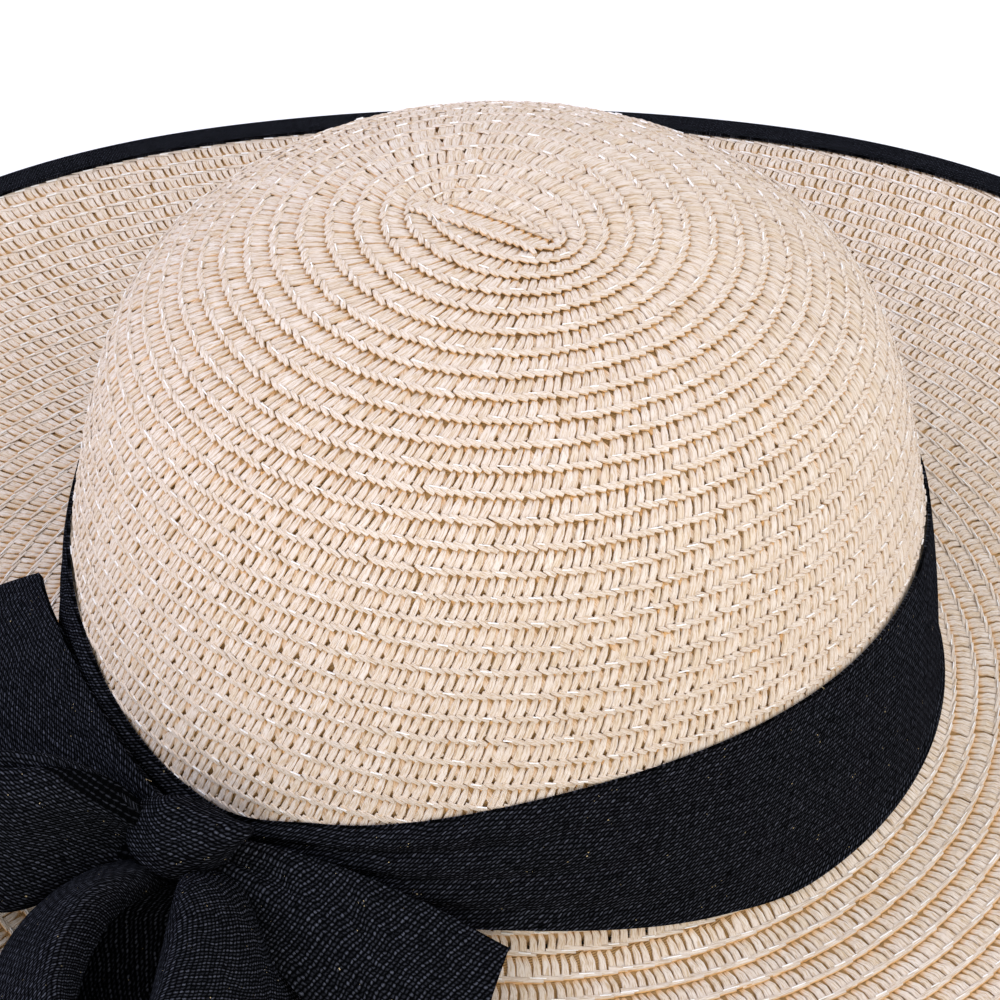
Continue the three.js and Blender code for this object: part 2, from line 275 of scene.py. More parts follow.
def grid_quads(rows: int, columns: int, closed: tuple[bool, bool] = (False, False)) -> np.ndarray:
    """Quads of a grid of points numbered row by row.

    Args:
        rows: rows of points.
        columns: points in a row.
        closed: whether the last row joins the first one, and the last column the first one.

    Returns:
        Four point numbers for each quad.
    """
    row = np.arange(rows if closed[0] else rows - 1)[:, None]
    column = np.arange(columns if closed[1] else columns - 1)[None, :]
    here, next_row = row * columns, (row + 1) % rows * columns
    after = (column + 1) % columns
    corners = (here + column, next_row + column, next_row + after, here + after)
    return np.stack(np.broadcast_arrays(*corners), -1).reshape(-1, 4)


def thick_sheet(front: Points, back: Points) -> tuple[Points, Faces]:
    """Closed sheet from two grids of points: both faces, and a rim of quads round the four edges.

    Args:
        front: grid of points, rows by columns by three.
        back: grid of the same shape.

    Returns:
        The vertices and the faces.
    """
    rows, columns = front.shape[:2]
    number = np.arange(rows * columns).reshape(rows, columns)
    rim = np.concatenate((number[0, :-1], number[:-1, -1], number[-1, :0:-1], number[:0:-1, 0]))
    after = np.roll(rim, -1)
    back_first = rows * columns
    face = grid_quads(rows, columns)
    edge = np.stack((rim, after, after + back_first, rim + back_first), -1)
    points = np.concatenate((front.reshape(-1, 3), back.reshape(-1, 3)))
    return points, [np.concatenate((face[:, ::-1], face + back_first, edge))]


def grid_normals(points: Points) -> Points:
    """Unit normals of a grid, by the cross product of its differences along and across."""
    normal = np.cross(np.gradient(points, axis=0), np.gradient(points, axis=1))
    return normal / np.maximum(np.linalg.norm(normal, axis=-1, keepdims=True), 1e-9)


def cloth_place(points: Points, skew: float = 0.0) -> np.ndarray:
    """Flat place of each grid point: its length along by the grid's middle line, and across from that line.

    Args:
        points: grid of points, along by across.
        skew: how far the yarns that run across lean along the cloth, by their way across.

    Returns:
        The places in millimetres, in the grid's shape, with nought as their third number.
    """
    middle = points.shape[1] // 2
    along = np.linalg.norm(np.diff(points[:, middle], axis=0), axis=-1)
    along = np.pad(np.cumsum(along), (1, 0))[:, None]
    across = np.linalg.norm(np.diff(points, axis=1), axis=-1)
    across = np.pad(np.cumsum(across, axis=1), ((0, 0), (1, 0)))
    across = across - across[:, middle:middle + 1]
    return np.stack(np.broadcast_arrays(along + skew * across, across, 0.0), -1)


def both_faces(flat: np.ndarray) -> dict[str, np.ndarray]:
    """Attribute of a thick sheet: the flat place on the cloth, the same on its front and back."""
    return {"cloth": np.tile(flat.reshape(-1, 3), (2, 1))}


# Finishes


class NodeSheet:
    """Node tree of one material, with short calls for the nodes that the finishes share."""

    def __init__(self, name: str) -> None:
        """Makes a material with one principled shader.

        Args:
            name: the material's name.
        """
        self.material = bpy.data.materials.new(name)
        self.material.use_nodes = True
        self.tree = self.material.node_tree
        self.tree.nodes.clear()
        self.shader = self.node("BsdfPrincipled")
        output = self.node("OutputMaterial")
        self.tree.links.new(self.shader.outputs["BSDF"], output.inputs["Surface"])

    def feed(self, socket: Socket, value: object) -> None:
        """Links a socket to another one, or sets its own value.

        Args:
            socket: the input.
            value: an output to link, or a plain value.
        """
        if isinstance(value, Socket):
            self.tree.links.new(value, socket)
        else:
            socket.default_value = value

    def node(self, kind: str, *values: object) -> bpy.types.Node:
        """Adds a shader node and feeds its first inputs.

        Args:
            kind: the node's kind.
            values: what its inputs get, in their order.

        Returns:
            The new node.
        """
        node = self.tree.nodes.new("ShaderNode" + kind)
        for socket, value in zip(node.inputs, values):
            self.feed(socket, value)
        return node

    def set(self, **values: object) -> None:
        """Feeds the shader's sockets, named with underscores for spaces."""
        for key, value in values.items():
            self.feed(self.shader.inputs[key.replace("_", " ")], value)

    def math(self, operation: str, a: object, b: object = 0.0, clamp: bool = False) -> Socket:
        """Works on one or two numbers.

        Args:
            operation: the Math node's operation.
            a: first number or socket.
            b: second number or socket.
            clamp: whether the result is kept between 0 and 1.

        Returns:
            The result's socket.
        """
        node = self.node("Math", a, b)
        node.operation = operation
        node.use_clamp = clamp
        return node.outputs[0]

    def times(self, a: object, b: object) -> Socket:
        """Product of two numbers or sockets."""
        return self.math("MULTIPLY", a, b)

    def plus(self, a: object, b: object) -> Socket:
        """Sum of two numbers or sockets."""
        return self.math("ADD", a, b)

    def wave(self, count: Socket) -> Socket:
        """Sine of half turns."""
        return self.math("SINE", self.times(count, math.pi))

    def split(self, vector: Socket) -> tuple[Socket, ...]:
        """The three parts of a vector."""
        return tuple(self.node("SeparateXYZ", vector).outputs)

    def join(self, x: object, y: object, z: object) -> Socket:
        """A vector from three numbers or sockets."""
        return self.node("CombineXYZ", x, y, z).outputs[0]

    def attribute(self, name: str, output: str = "Vector") -> Socket:
        """Reads a point attribute of the piece.

        Args:
            name: the attribute's name.
            output: which of the node's outputs to read.

        Returns:
            The output's socket.
        """
        node = self.node("Attribute")
        node.attribute_name = name
        return node.outputs[output]

    def place(self) -> Socket:
        """Place on the piece in metres."""
        return self.node("TexCoord").outputs["Object"]

    def noise(self, vector: Socket, scale: float, detail: float = 2.0, rough: float = 0.5) -> Socket:
        """Adds a noise texture.

        Args:
            vector: where the noise is read.
            scale: its fineness.
            detail: how many finer layers it has.
            rough: share of each finer layer.

        Returns:
            Its height, about a half on average.
        """
        node = self.node("TexNoise", vector)
        node.inputs["Scale"].default_value = scale
        node.inputs["Detail"].default_value = detail
        node.inputs["Roughness"].default_value = rough
        return node.outputs["Fac"]

    def ramp(self, share: Socket, *stops: tuple[float, Colour]) -> Socket:
        """Colours a share by a ramp.

        Args:
            share: the share.
            stops: places on the ramp and their colours.

        Returns:
            The colour's socket.
        """
        node = self.node("ValToRGB", share)
        elements = node.color_ramp.elements
        while len(elements) < len(stops):
            elements.new(0.5)
        for element, (place, colour) in zip(elements, stops):
            element.position = place
            element.color = (*colour, 1)
        return node.outputs["Color"]

    def blend(self, share: object, a: object, b: object, way: str = "MIX") -> Socket:
        """Mixes two colours.

        Args:
            share: share of the second colour.
            a: first colour, or its socket.
            b: second colour, or its socket.
            way: how they mix.

        Returns:
            The mixed colour's socket.
        """
        node = self.node("Mix", share)
        node.data_type = "RGBA"
        node.blend_type = way
        for number, colour in ((6, a), (7, b)):
            self.feed(node.inputs[number], colour if isinstance(colour, Socket) else (*colour, 1))
        return node.outputs[2]

    def bump(self, height: Socket, strength: float, distance: float) -> Socket:
        """Bends the normal by a height field.

        Args:
            height: the height.
            strength: share of the bend.
            distance: depth of the field in metres.

        Returns:
            The normal's socket.
        """
        node = self.node("Bump")
        node.inputs["Strength"].default_value = strength
        node.inputs["Distance"].default_value = distance
        self.feed(node.inputs["Height"], height)
        return node.outputs["Normal"]


@dataclass(frozen=True)
class BraidFinish:
    """Matte paper cord: cream strands that differ a little, streaked along, with painted shade, brown, in the
    depth and a painted golden glow at their edges.
    """

    pale: Colour = (0.725, 0.645, 0.565)
    middle: Colour = (0.685, 0.59, 0.50)
    warm: Colour = (0.665, 0.555, 0.435)
    middle_chances: Pair = (0.3, 0.7)  # chances between which a strand has the middle colour
    streak: Colour = (0.46, 0.31, 0.16)
    streak_share: float = 0.75
    streak_heights: Pair = (0.40, 0.52)  # fibre heights between which a streak ends
    fibres: float = 4.4  # fibres across half a strand
    fibre_detail: Pair = (3.0, 0.6)  # finer layers of the fibres, and their share
    seeds: float = 61.0  # how far apart in the noise two strands may lie
    # Painted shade, brown, where a strand goes under or lies in the depth; then a painted golden glow, as of
    # light through the paper, at its edges and sides.
    depth_shade: Colour = (0.30, 0.14, 0.04)
    glow: Colour = (0.93, 0.60, 0.24)
    glow_tones: Pair = (0.4, 0.78)  # levels of painted light at which the painted glow is full, and at which the strand shows its full colour
    roughness: float = 0.62
    specular: float = 0.35
    relief: Pair = (0.5, 0.0003)  # strength of the bump, and its depth in metres

    def material(self) -> Material:
        """Makes the material of the strands, by their own attributes strand and tone; tone is painted light,
        with painted shade in the depth and a painted glow at the edges.

        Returns:
            The material.
        """
        sheet = NodeSheet("paper_braid")
        across, along, chance = sheet.split(sheet.attribute("strand"))
        first, last = self.middle_chances
        base = sheet.ramp(chance, (0, self.warm), (first, self.middle), (last, self.middle), (1, self.pale))
        seed = sheet.times(chance, self.seeds)
        lengthwise = sheet.join(sheet.times(across, self.fibres), along, seed)
        fibre = sheet.noise(lengthwise, 1.0, *self.fibre_detail)
        full, none = self.streak_heights
        lines = sheet.ramp(fibre, (full, WHITE), (none, BLACK))
        streaked = sheet.blend(sheet.times(lines, self.streak_share), base, self.streak)
        glow, clear = self.glow_tones
        tone = sheet.attribute("tone", "Fac")
        # Painted light: shade in the depth, a golden glow on the sides and edges, and no paint on the strand's
        # open top.
        painted_shading = sheet.ramp(tone, (0, self.depth_shade), (glow, self.glow), (clear, WHITE))
        sheet.set(Base_Color=sheet.blend(1.0, streaked, painted_shading, "MULTIPLY"))
        sheet.set(Roughness=self.roughness, Specular_IOR_Level=self.specular)
        sheet.set(Normal=sheet.bump(fibre, *self.relief))
        return sheet.material


@dataclass(frozen=True)
class WallFinish:
    """Wall under the braid: painted shade, warm brown, on its face behind the strands, and cream rows where it
    shows inside, darkened with painted shade towards their gaps.
    """

    shade: Colour = (0.38, 0.225, 0.09)
    row: Colour = (0.72, 0.60, 0.46)
    lean: float = 0.8  # strands that a bar leans over on its way across the row
    fall: float = 0.5  # power by which painted shade darkens the rows towards their gaps
    roughness: float = 0.8
    specular: float = 0.2
    relief: Pair = (0.6, 0.0008)  # strength of the bump, and its depth in metres

    def material(self) -> Material:
        """Makes the material of the walls: row counts rows and strands, and tone tells the inner face, which
        shows the rows, from the outer face, which is all painted shade.

        Returns:
            The material.
        """
        sheet = NodeSheet("braid_wall")
        strand, row, _ = sheet.split(sheet.attribute("row"))
        part = sheet.math("FRACT", row)
        bar = sheet.math("ABSOLUTE", sheet.wave(sheet.plus(strand, sheet.times(part, self.lean))))
        height = sheet.times(bar, sheet.wave(part))
        rows = sheet.blend(sheet.math("POWER", height, self.fall), self.shade, self.row)
        sheet.set(Base_Color=sheet.blend(sheet.attribute("tone", "Fac"), self.shade, rows))
        sheet.set(Roughness=self.roughness, Specular_IOR_Level=self.specular)
        sheet.set(Normal=sheet.bump(height, *self.relief))
        return sheet.material


@dataclass(frozen=True)
class ThreadFinish:
    """White sewing thread with a faint gloss."""

    colour: Colour = (0.93, 0.92, 0.9)
    dull: Colour = (0.86, 0.83, 0.78)
    twists: float = 14.0
    roughness: float = 0.4
    relief: Pair = (0.25, 0.0002)  # strength of the bump, and its depth in metres

    def material(self) -> Material:
        """Makes the material of the stitches, twisted along their own length.

        Returns:
            The material.
        """
        sheet = NodeSheet("sewing_thread")
        across, along, chance = sheet.split(sheet.attribute("strand"))
        twist = sheet.math("SINE", sheet.times(sheet.plus(along, across), self.twists))
        sheet.set(Base_Color=sheet.ramp(chance, (0, self.dull), (0.5, self.colour), (1, self.colour)))
        sheet.set(Roughness=self.roughness, Normal=sheet.bump(twist, *self.relief))
        return sheet.material


@dataclass(frozen=True)
class LinenFinish:
    """Black open plain weave: slubbed yarns with a painted bluish highlight on the crests, and pin holes that
    show straw.
    """

    name: str = "black_linen"
    yarn: Colour = (0.0011, 0.0012, 0.0014)
    # Painted highlight, bluish, on the yarns' crests.
    highlit_crest: Colour = (0.074, 0.079, 0.101)
    hole: Colour = (0.5, 0.4, 0.22)
    pitch: float = 0.9  # distance from one yarn to the next
    slant: float = 1.0  # yarns that a grain leans over, by the twist
    slubs: float = 1.2  # fineness of the slubs across a yarn
    slub_draw: float = 0.12  # share of that fineness along it
    slub_planes: Pair = (3.0, 9.0)  # levels in the noise where the slubs of weft and warp are read
    slub_move: float = 0.25  # how far a slub moves its yarn
    drift: float = 2.5  # how far the yarns wander
    drifts: float = 0.07  # fineness of that wandering
    shake: float = 0.55  # how far a grain lies off its place, in yarns
    shakes: float = 0.7  # fineness of the shake, by the yarn
    weft_plane: float = 20.0  # level in the noise where the weft's drift and shake are read
    warp_power: float = 3.4  # narrowness of the crests across the warp
    weft_power: float = 1.6  # narrowness of the crests across the weft
    under: float = 0.38  # height of a yarn that passes under
    cell_step: float = 0.73  # step in the noise from one crossing to the next
    cell_plane: float = 5.0  # level in the noise where the crossings' chances are read
    dark_chance: float = 0.08  # chance at which a crossing is dark
    contrast: float = 2.0  # how strongly chance and fibres vary the crests
    fibres: float = 2.4  # fineness of the fibres, by the yarn
    pin_height: float = 0.7  # height of both yarns under which a crossing is open
    pin_chance: float = 0.52  # least chance of an open crossing
    patches: float = 0.3  # fineness of the patches of pin holes
    patch_detail: Pair = (3.0, 0.75)  # finer layers of those patches, and their share
    holes: float = 0.66  # height of the patches over which holes show
    roughness: float = 0.85
    relief: Pair = (0.6, 0.0004)  # strength of the bump, and its depth in metres

    def material(self) -> Material:
        """Makes the material by the attribute cloth, the flat place on the cloth in millimetres.

        The crests are powers of the sines of yarns counted both ways, lower where the warp passes under, and
        their painted highlight stands in for a gloss, which is set to nought.

        Returns:
            The material.
        """
        sheet = NodeSheet(self.name)
        along, across, _ = sheet.split(sheet.attribute("cloth"))
        flat = sheet.join(along, across, 0.0)
        weft_plane, warp_plane = self.slub_planes
        drawn_along, drawn_across = (sheet.times(way, self.slub_draw) for way in (along, across))
        weft_slub = sheet.noise(sheet.join(drawn_along, across, weft_plane), self.slubs)
        warp_slub = sheet.noise(sheet.join(along, drawn_across, warp_plane), self.slubs)
        warp = self.counted(sheet, along, warp_slub, flat)
        weft = self.counted(sheet, across, weft_slub, sheet.join(across, along, self.weft_plane))
        warp_ridge, weft_ridge = self.ridge(sheet, warp), self.ridge(sheet, weft)
        turned = sheet.times(sheet.math("SUBTRACT", sheet.math("FRACT", weft), 0.5), self.slant)
        twisted = self.ridge(sheet, sheet.plus(warp, turned))
        cells = (sheet.math("FLOOR", warp), sheet.math("FLOOR", weft))
        over = sheet.math("MODULO", sheet.plus(*cells), 2.0)
        steps = (sheet.times(cell, self.cell_step) for cell in cells)
        chance = sheet.noise(sheet.join(*steps, self.cell_plane), 1.0, 0.0)
        narrow = sheet.math("POWER", twisted, self.warp_power)
        highlit_crest = sheet.times(narrow, sheet.math("POWER", weft_ridge, self.weft_power))
        height = sheet.times(highlit_crest, sheet.plus(self.under, sheet.times(over, 1 - self.under)))
        spread = sheet.times(sheet.math("SUBTRACT", chance, self.dark_chance), self.contrast)
        fibre = sheet.times(sheet.noise(flat, self.fibres / self.pitch, 1.0), self.contrast)
        uneven = sheet.times(sheet.plus(weft_slub, warp_slub), sheet.times(spread, fibre))
        light = sheet.math("MULTIPLY", height, uneven, clamp=True)
        pin = sheet.math("LESS_THAN", sheet.plus(warp_ridge, weft_ridge), self.pin_height)
        some = sheet.math("GREATER_THAN", chance, self.pin_chance)
        patch = sheet.math("GREATER_THAN", sheet.noise(flat, self.patches, *self.patch_detail), self.holes)
        bare = sheet.times(sheet.times(pin, some), patch)
        # Painted highlight on the crests, in place of a gloss.
        sheet.set(Base_Color=sheet.blend(bare, sheet.blend(light, self.yarn, self.highlit_crest), self.hole))
        sheet.set(Roughness=self.roughness, Specular_IOR_Level=0.0)
        sheet.set(Normal=sheet.bump(height, *self.relief))
        return sheet.material

    def counted(self, sheet: NodeSheet, place: Socket, slub: Socket, flat: Socket) -> Socket:
        """Counts the yarns along a direction, moved by their slubs, a slow drift and a shake of each grain.

        Args:
            sheet: the material's nodes.
            place: way along that direction.
            slub: height of the slubs.
            flat: flat place where drift and shake are read.

        Returns:
            The count's socket.
        """
        moved = sheet.plus(sheet.plus(place, self.pitch / 2), sheet.times(slub, self.slub_move))
        moved = sheet.plus(moved, sheet.times(sheet.noise(flat, self.drifts), self.drift))
        shake = sheet.times(sheet.noise(flat, self.shakes / self.pitch, 1.0), self.shake * self.pitch)
        return sheet.math("DIVIDE", sheet.plus(moved, shake), self.pitch)

    def ridge(self, sheet: NodeSheet, count: Socket) -> Socket:
        """Rise and fall of the yarns, the size of the sine of half turns counted by yarn."""
        return sheet.math("ABSOLUTE", sheet.wave(count))


@dataclass(frozen=True)
class FloorFinish:
    """Plain pale studio floor with the faintest mottle."""

    colour: Colour = (0.94, 0.94, 0.94)
    mottle: Colour = (0.92, 0.92, 0.92)
    clouds: float = 1.5
    roughness: float = 0.7

    def material(self) -> Material:
        """Makes the material of the floor.

        Returns:
            The material.
        """
        sheet = NodeSheet("pale_floor")
        cloud = sheet.noise(sheet.place(), self.clouds)
        sheet.set(Base_Color=sheet.blend(cloud, self.colour, self.mottle), Roughness=self.roughness)
        return sheet.material


# Straw


@dataclass
class WallLine:
    """Line of a braid wall in its turning plane, by the run along it.

    The radius is the running sum of the steepness's cosine, and the drop that of its sine.

    Attributes:
        slopes: rows of run and steepness.
        start_radius: radius where the run is nought.
        top_level: level where the run is nought.
        lifted: whether the brim's edge lift is added.
        runs: runs at even steps.
        steep: steepness in radians at each step.
        radii: radius at each step.
        levels: level at each step.
    """

    slopes: tuple[Pair, ...]
    start_radius: float
    top_level: float
    lifted: bool = False
    runs: np.ndarray = field(init=False)
    steep: np.ndarray = field(init=False)
    radii: np.ndarray = field(init=False)
    levels: np.ndarray = field(init=False)

    def __post_init__(self) -> None:
        """Works out radius and level at each step of the run."""
        rows = np.array(self.slopes, float)
        self.runs = np.arange(rows[0, 0], rows[-1, 0] + RUN_STEP / 2, RUN_STEP)
        self.steep = np.radians(np.interp(self.runs, rows[:, 0], rows[:, 1]))
        middle = np.radians(np.interp(self.runs[:-1] + RUN_STEP / 2, rows[:, 0], rows[:, 1]))
        reach = np.concatenate(([0], np.cumsum(np.cos(middle)) * RUN_STEP))
        drop = np.concatenate(([0], np.cumsum(np.sin(middle)) * RUN_STEP))
        self.radii = self.start_radius + reach - np.interp(0, self.runs, reach)
        self.levels = self.top_level - drop + np.interp(0, self.runs, drop)

    def place(self, run: np.ndarray, angle: np.ndarray, offset: np.ndarray | float) -> Points:
        """Places points on the wall, moved off its line along the outward normal.

        Args:
            run: runs along the line.
            angle: plan angles in radians.
            offset: ways off the line.

        Returns:
            The points.
        """
        slope = np.interp(run, self.runs, self.steep)
        radius = np.interp(run, self.runs, self.radii) + np.sin(slope) * offset
        level = np.interp(run, self.runs, self.levels) + np.cos(slope) * offset
        if self.lifted:
            level = level + edge_lift(radius, angle)
        return around(np.degrees(angle), radius, level)

    def run_at_level(self, level: float) -> float:
        """Run where the line reaches a level."""
        return float(np.interp(-level, -self.levels, self.runs))

    def radius_at_level(self, level: np.ndarray) -> np.ndarray:
        """Radius where the line reaches each level."""
        return np.interp(-level, -self.levels, self.radii)

    def run_at_radius(self, radius: float) -> float:
        """Run where the line reaches a radius."""
        return float(np.interp(radius, self.radii, self.runs))


@dataclass
class SpiralPath:
    """Path of the braid: a spiral on a wall, drawn out to an oval round a core near the apex.

    At a turn, the row's inner edge has the run first_run + ROW_PITCH * turn / (2 pi), as counted at the
    front. Round the core the spiral is an ellipse about a middle that lies towards the front, so that the
    rows' front stays on its run: its short half is the run less the core's shift, and its long half exceeds
    that by oval_reach * exp(-short half / oval_fade).

    Attributes:
        line: the wall.
        first_run: run of the row's inner edge at the start.
        last_run: run of the row's inner edge at the end.
        core_shift: how far the core lies in front of the apex.
        core_fade: runs between which that shift fades to nought.
        oval_reach: extra reach of the ellipse at the core.
        oval_fade: short half over which that reach fades.
        start_angle: plan angle of the long axis, and of the place where the run is first_run.
        start_turn: turns from that place to the start.
        turns: turns in radians at fine steps.
        lengths: length along the middle of the row at each step.
    """

    line: WallLine
    first_run: float
    last_run: float
    core_shift: float = 0.0
    core_fade: Pair = (14.0, 60.0)
    oval_reach: float = 0.0
    oval_fade: float = 16.0
    start_angle: float = 0.0
    start_turn: float = 0.0
    turns: np.ndarray = field(init=False)
    lengths: np.ndarray = field(init=False)

    def __post_init__(self) -> None:
        """Measures the length along the middle of the row at fine steps of the turn."""
        total = (self.last_run - self.first_run) / ROW_PITCH
        turns = np.linspace(self.start_turn, total, int((total - self.start_turn) * STEPS_A_TURN) + 1)
        self.turns = turns * TURN
        middle = self.on_wall(self.turns, np.full_like(self.turns, ROW_PITCH / 2), 0.0)
        step = np.linalg.norm(np.diff(middle, axis=0), axis=1)
        self.lengths = np.concatenate(([0], np.cumsum(step)))

    @property
    def length(self) -> float:
        """Length of the braid."""
        return float(self.lengths[-1])

    def on_wall(self, turn: np.ndarray, across: np.ndarray, height: np.ndarray | float) -> Points:
        """Places points by the turn of the spiral.

        Args:
            turn: turns in radians.
            across: ways across the row from its inner edge.
            height: heights above the wall.

        Returns:
            The points.
        """
        run = self.first_run + ROW_PITCH * turn / TURN + across
        axis = math.radians(self.start_angle)
        if not self.oval_reach:
            return self.line.place(run, turn + axis, height)
        run = np.maximum(run, LEAST_RUN)
        shift = self.core_shift * (1 - smooth_step(run, *self.core_fade))
        short = np.maximum(run - shift, LEAST_RUN)
        long = short + self.oval_reach * np.exp(-short / self.oval_fade)
        x = long * np.cos(turn) * math.cos(axis) - short * np.sin(turn) * math.sin(axis)
        y = long * np.cos(turn) * math.sin(axis) + short * np.sin(turn) * math.cos(axis) - shift
        return self.line.place(np.hypot(x, y), np.arctan2(y, x), height)

    def place(self, along: np.ndarray, across: np.ndarray, height: np.ndarray) -> Points:
        """Points at lengths along the braid, across its row, and above the wall."""
        return self.on_wall(np.interp(along, self.lengths, self.turns), across, height)


@dataclass
class StraightPath:
    """Path of the braid's first straight stretch over the apex.

    Attributes:
        line: the wall.
        length: length of the stretch.
        angle: plan angle of its direction.
        middle: its middle in plan.
        rise: height above the rows that it lies on.
    """

    line: WallLine
    length: float
    angle: float
    middle: Pair
    rise: float

    def place(self, along: np.ndarray, across: np.ndarray, height: np.ndarray) -> Points:
        """Places points on the stretch.

        Args:
            along: lengths along it.
            across: ways across it, towards the right of its direction.
            height: heights above it.

        Returns:
            The points.
        """
        turn = math.radians(self.angle)
        forward = along - self.length / 2
        side = across - ROW_PITCH / 2
        x = self.middle[0] + forward * math.cos(turn) + side * math.sin(turn)
        y = self.middle[1] + forward * math.sin(turn) - side * math.cos(turn)
        return self.line.place(np.hypot(x, y), np.arctan2(y, x), height + self.rise)


Path = SpiralPath | StraightPath
Bares = Callable[[SpiralPath, np.ndarray], np.ndarray]


@dataclass(frozen=True)
class StrandForm:
    """Form of one strand: sections along its middle line, each of four points, a side, two tops and a side.

    Attributes:
        stations: rows of place along the row, place across it, height of the top, half width, and painted
            light, low for painted shade.
        drops: heights of the four points over the top.
        ring: places of the four points across the strand, in half widths.
        tilt: height of the strand's far side over its middle, so that neighbours lie like shingles.
        light_shares: share of the painted light at the four points, lower where a side is painted in shade.
        wander: how far a strand's ends move along the row.
        pale: least chance of a strand, from nought for any colour to one for the palest.
    """

    stations: tuple[tuple[float, float, float, float, float], ...]
    drops: Four
    ring: Four = (-1.0, -0.74, 0.74, 1.0)
    tilt: float = 0.0
    light_shares: Four = (0.66, 1.0, 1.0, 0.66)
    wander: float = 0.1
    pale: float = 0.0

    def sections(self, broad: np.ndarray, rng: np.random.Generator) -> tuple[Points, np.ndarray]:
        """Works out the sections of many strands about their own places.

        A point is its station's middle, moved along the side of the middle line by its share of the width.

        Args:
            broad: each strand's share of the form's width.
            rng: source of the differences between strands.

        Returns:
            Places along, across and above the row, strands by stations by four by three, and their painted
            light.
        """
        table = np.array(self.stations, float)
        middle = table[:, :2]
        direction = np.gradient(middle, axis=0)
        direction /= np.linalg.norm(direction, axis=1, keepdims=True)
        side = np.stack((direction[:, 1], -direction[:, 0]), -1)
        count = len(broad)
        width = broad[:, None, None] + rng.normal(0, WIDTH_SPREAD, (count, 1, 1))
        moved = rng.normal(0, self.wander, (count, 1))
        lean = moved + rng.normal(0, self.wander, (count, 1)) * np.linspace(-1, 1, len(table))
        lift = rng.normal(0, LIFT_SPREAD, (count, 1, 1))
        slide = rng.normal(0, SLIDE_SPREAD, (count, 1, 1))
        ring = np.array(self.ring)
        reach = table[None, :, 3, None] * ring * width
        plane = middle[None, :, None, :] + reach[..., None] * side[None, :, None, :]
        plane[..., 0] += lean[:, :, None]
        plane[..., 1] += slide
        height = table[None, :, 2, None] + np.array(self.drops) + self.tilt * ring + lift
        # Painted light of each point: its station's level times the point's share, lower on a shaded side.
        tone = table[None, :, 4, None] * np.array(self.light_shares) + 0 * height
        return np.concatenate((plane, height[..., None]), -1), tone

    def faces(self, count: int) -> np.ndarray:
        """Numbers the quads of all strands: four sides between stations, and an end at either end.

        Args:
            count: how many strands there are.

        Returns:
            Four point numbers for each quad.
        """
        size = len(self.stations)
        station = np.arange(size - 1)[:, None] * 4
        corner = np.arange(4)[None, :]
        after = (corner + 1) % 4
        sides = np.stack((station + corner, station + after, station + 4 + after, station + 4 + corner), -1)
        last = (size - 1) * 4
        ends = np.array(((3, 2, 1, 0), (last, last + 1, last + 2, last + 3)))
        one = np.concatenate((sides.reshape(-1, 4), ends))
        return (np.arange(count)[:, None, None] * size * 4 + one).reshape(-1, 4)


@dataclass
class Strands:
    """Strands laid along a path.

    Attributes:
        points: vertices.
        faces: quads.
        strand: place across the strand, along it, and the strand's chance, for each vertex.
        tone: painted light of each vertex, from nought where the depth is painted in shade.
    """

    points: Points
    faces: np.ndarray
    strand: np.ndarray
    tone: np.ndarray

    @classmethod
    def lay(
        cls,
        path: Path,
        form: StrandForm,
        places: np.ndarray,
        rng: np.random.Generator,
        broad: np.ndarray | None = None,
    ) -> "Strands":
        """Lays one strand of a form at each place along a path.

        Args:
            path: the braid's path.
            form: the strand's form.
            places: lengths along the path.
            rng: source of the differences between strands.
            broad: each strand's share of the form's width, one if it isn't given.

        Returns:
            The laid strands.
        """
        count = len(places)
        sections, tone = form.sections(np.ones(count) if broad is None else broad, rng)
        along = sections[..., 0] + places[:, None, None]
        points = path.place(along.ravel(), sections[..., 1].ravel(), sections[..., 2].ravel())
        run = np.linspace(0, STREAK_RUN, len(form.stations))[None, :, None]
        chance = mix(form.pale, 1, rng.random((count, 1, 1)))
        strand = np.stack(np.broadcast_arrays(np.array(form.ring), run, chance), -1)
        return cls(points, form.faces(count), strand.reshape(-1, 3), tone.reshape(-1))

    @classmethod
    def join(cls, *parts: "Strands") -> "Strands":
        """Makes one set of strands from several.

        Args:
            parts: the sets.

        Returns:
            All their strands.
        """
        firsts = np.cumsum([0] + [len(part.points) for part in parts[:-1]])
        return cls(
            np.concatenate([part.points for part in parts]),
            np.concatenate([part.faces + first for part, first in zip(parts, firsts)]),
            np.concatenate([part.strand for part in parts]),
            np.concatenate([part.tone for part in parts]),
        )

    def piece(self, name: str, finish: Material) -> bpy.types.Object:
        """Makes the strands one piece."""
        attributes = {"strand": self.strand, "tone": self.tone}
        return make_piece(name, self.points, [self.faces], finish, attributes, smooth=False)


def braid_places(length: float, rng: np.random.Generator) -> np.ndarray:
    """Places of the strands along a braid, a little uneven."""
    number = np.arange(2 * int(length / STRAND_PITCH / 2))
    return (number + 0.5) * STRAND_PITCH + rng.normal(0, PLACE_SPREAD, len(number))


def bare_places(path: SpiralPath, bares: Bares, rng: np.random.Generator) -> np.ndarray:
    """Places of the strands along a spiral whose pairs the band leaves bare."""
    places = braid_places(path.length, rng)
    return places[np.repeat(bares(path, places[::2]), 2)]


def even_parts(places: np.ndarray, count: int) -> list[np.ndarray]:
    """Places in about equal parts, with no pair divided."""
    size = len(places) // (2 * count) * 2
    return np.split(places, [size * number for number in range(1, count)])


def paired(places: np.ndarray) -> np.ndarray:
    """The same places drawn together in pairs."""
    return places + np.where(np.arange(len(places)) % 2 == 0, PAIR_SHIFT, -PAIR_SHIFT)


def between(places: np.ndarray) -> np.ndarray:
    """Places of the gaps between the pairs."""
    return places[::2] - STRAND_PITCH / 2


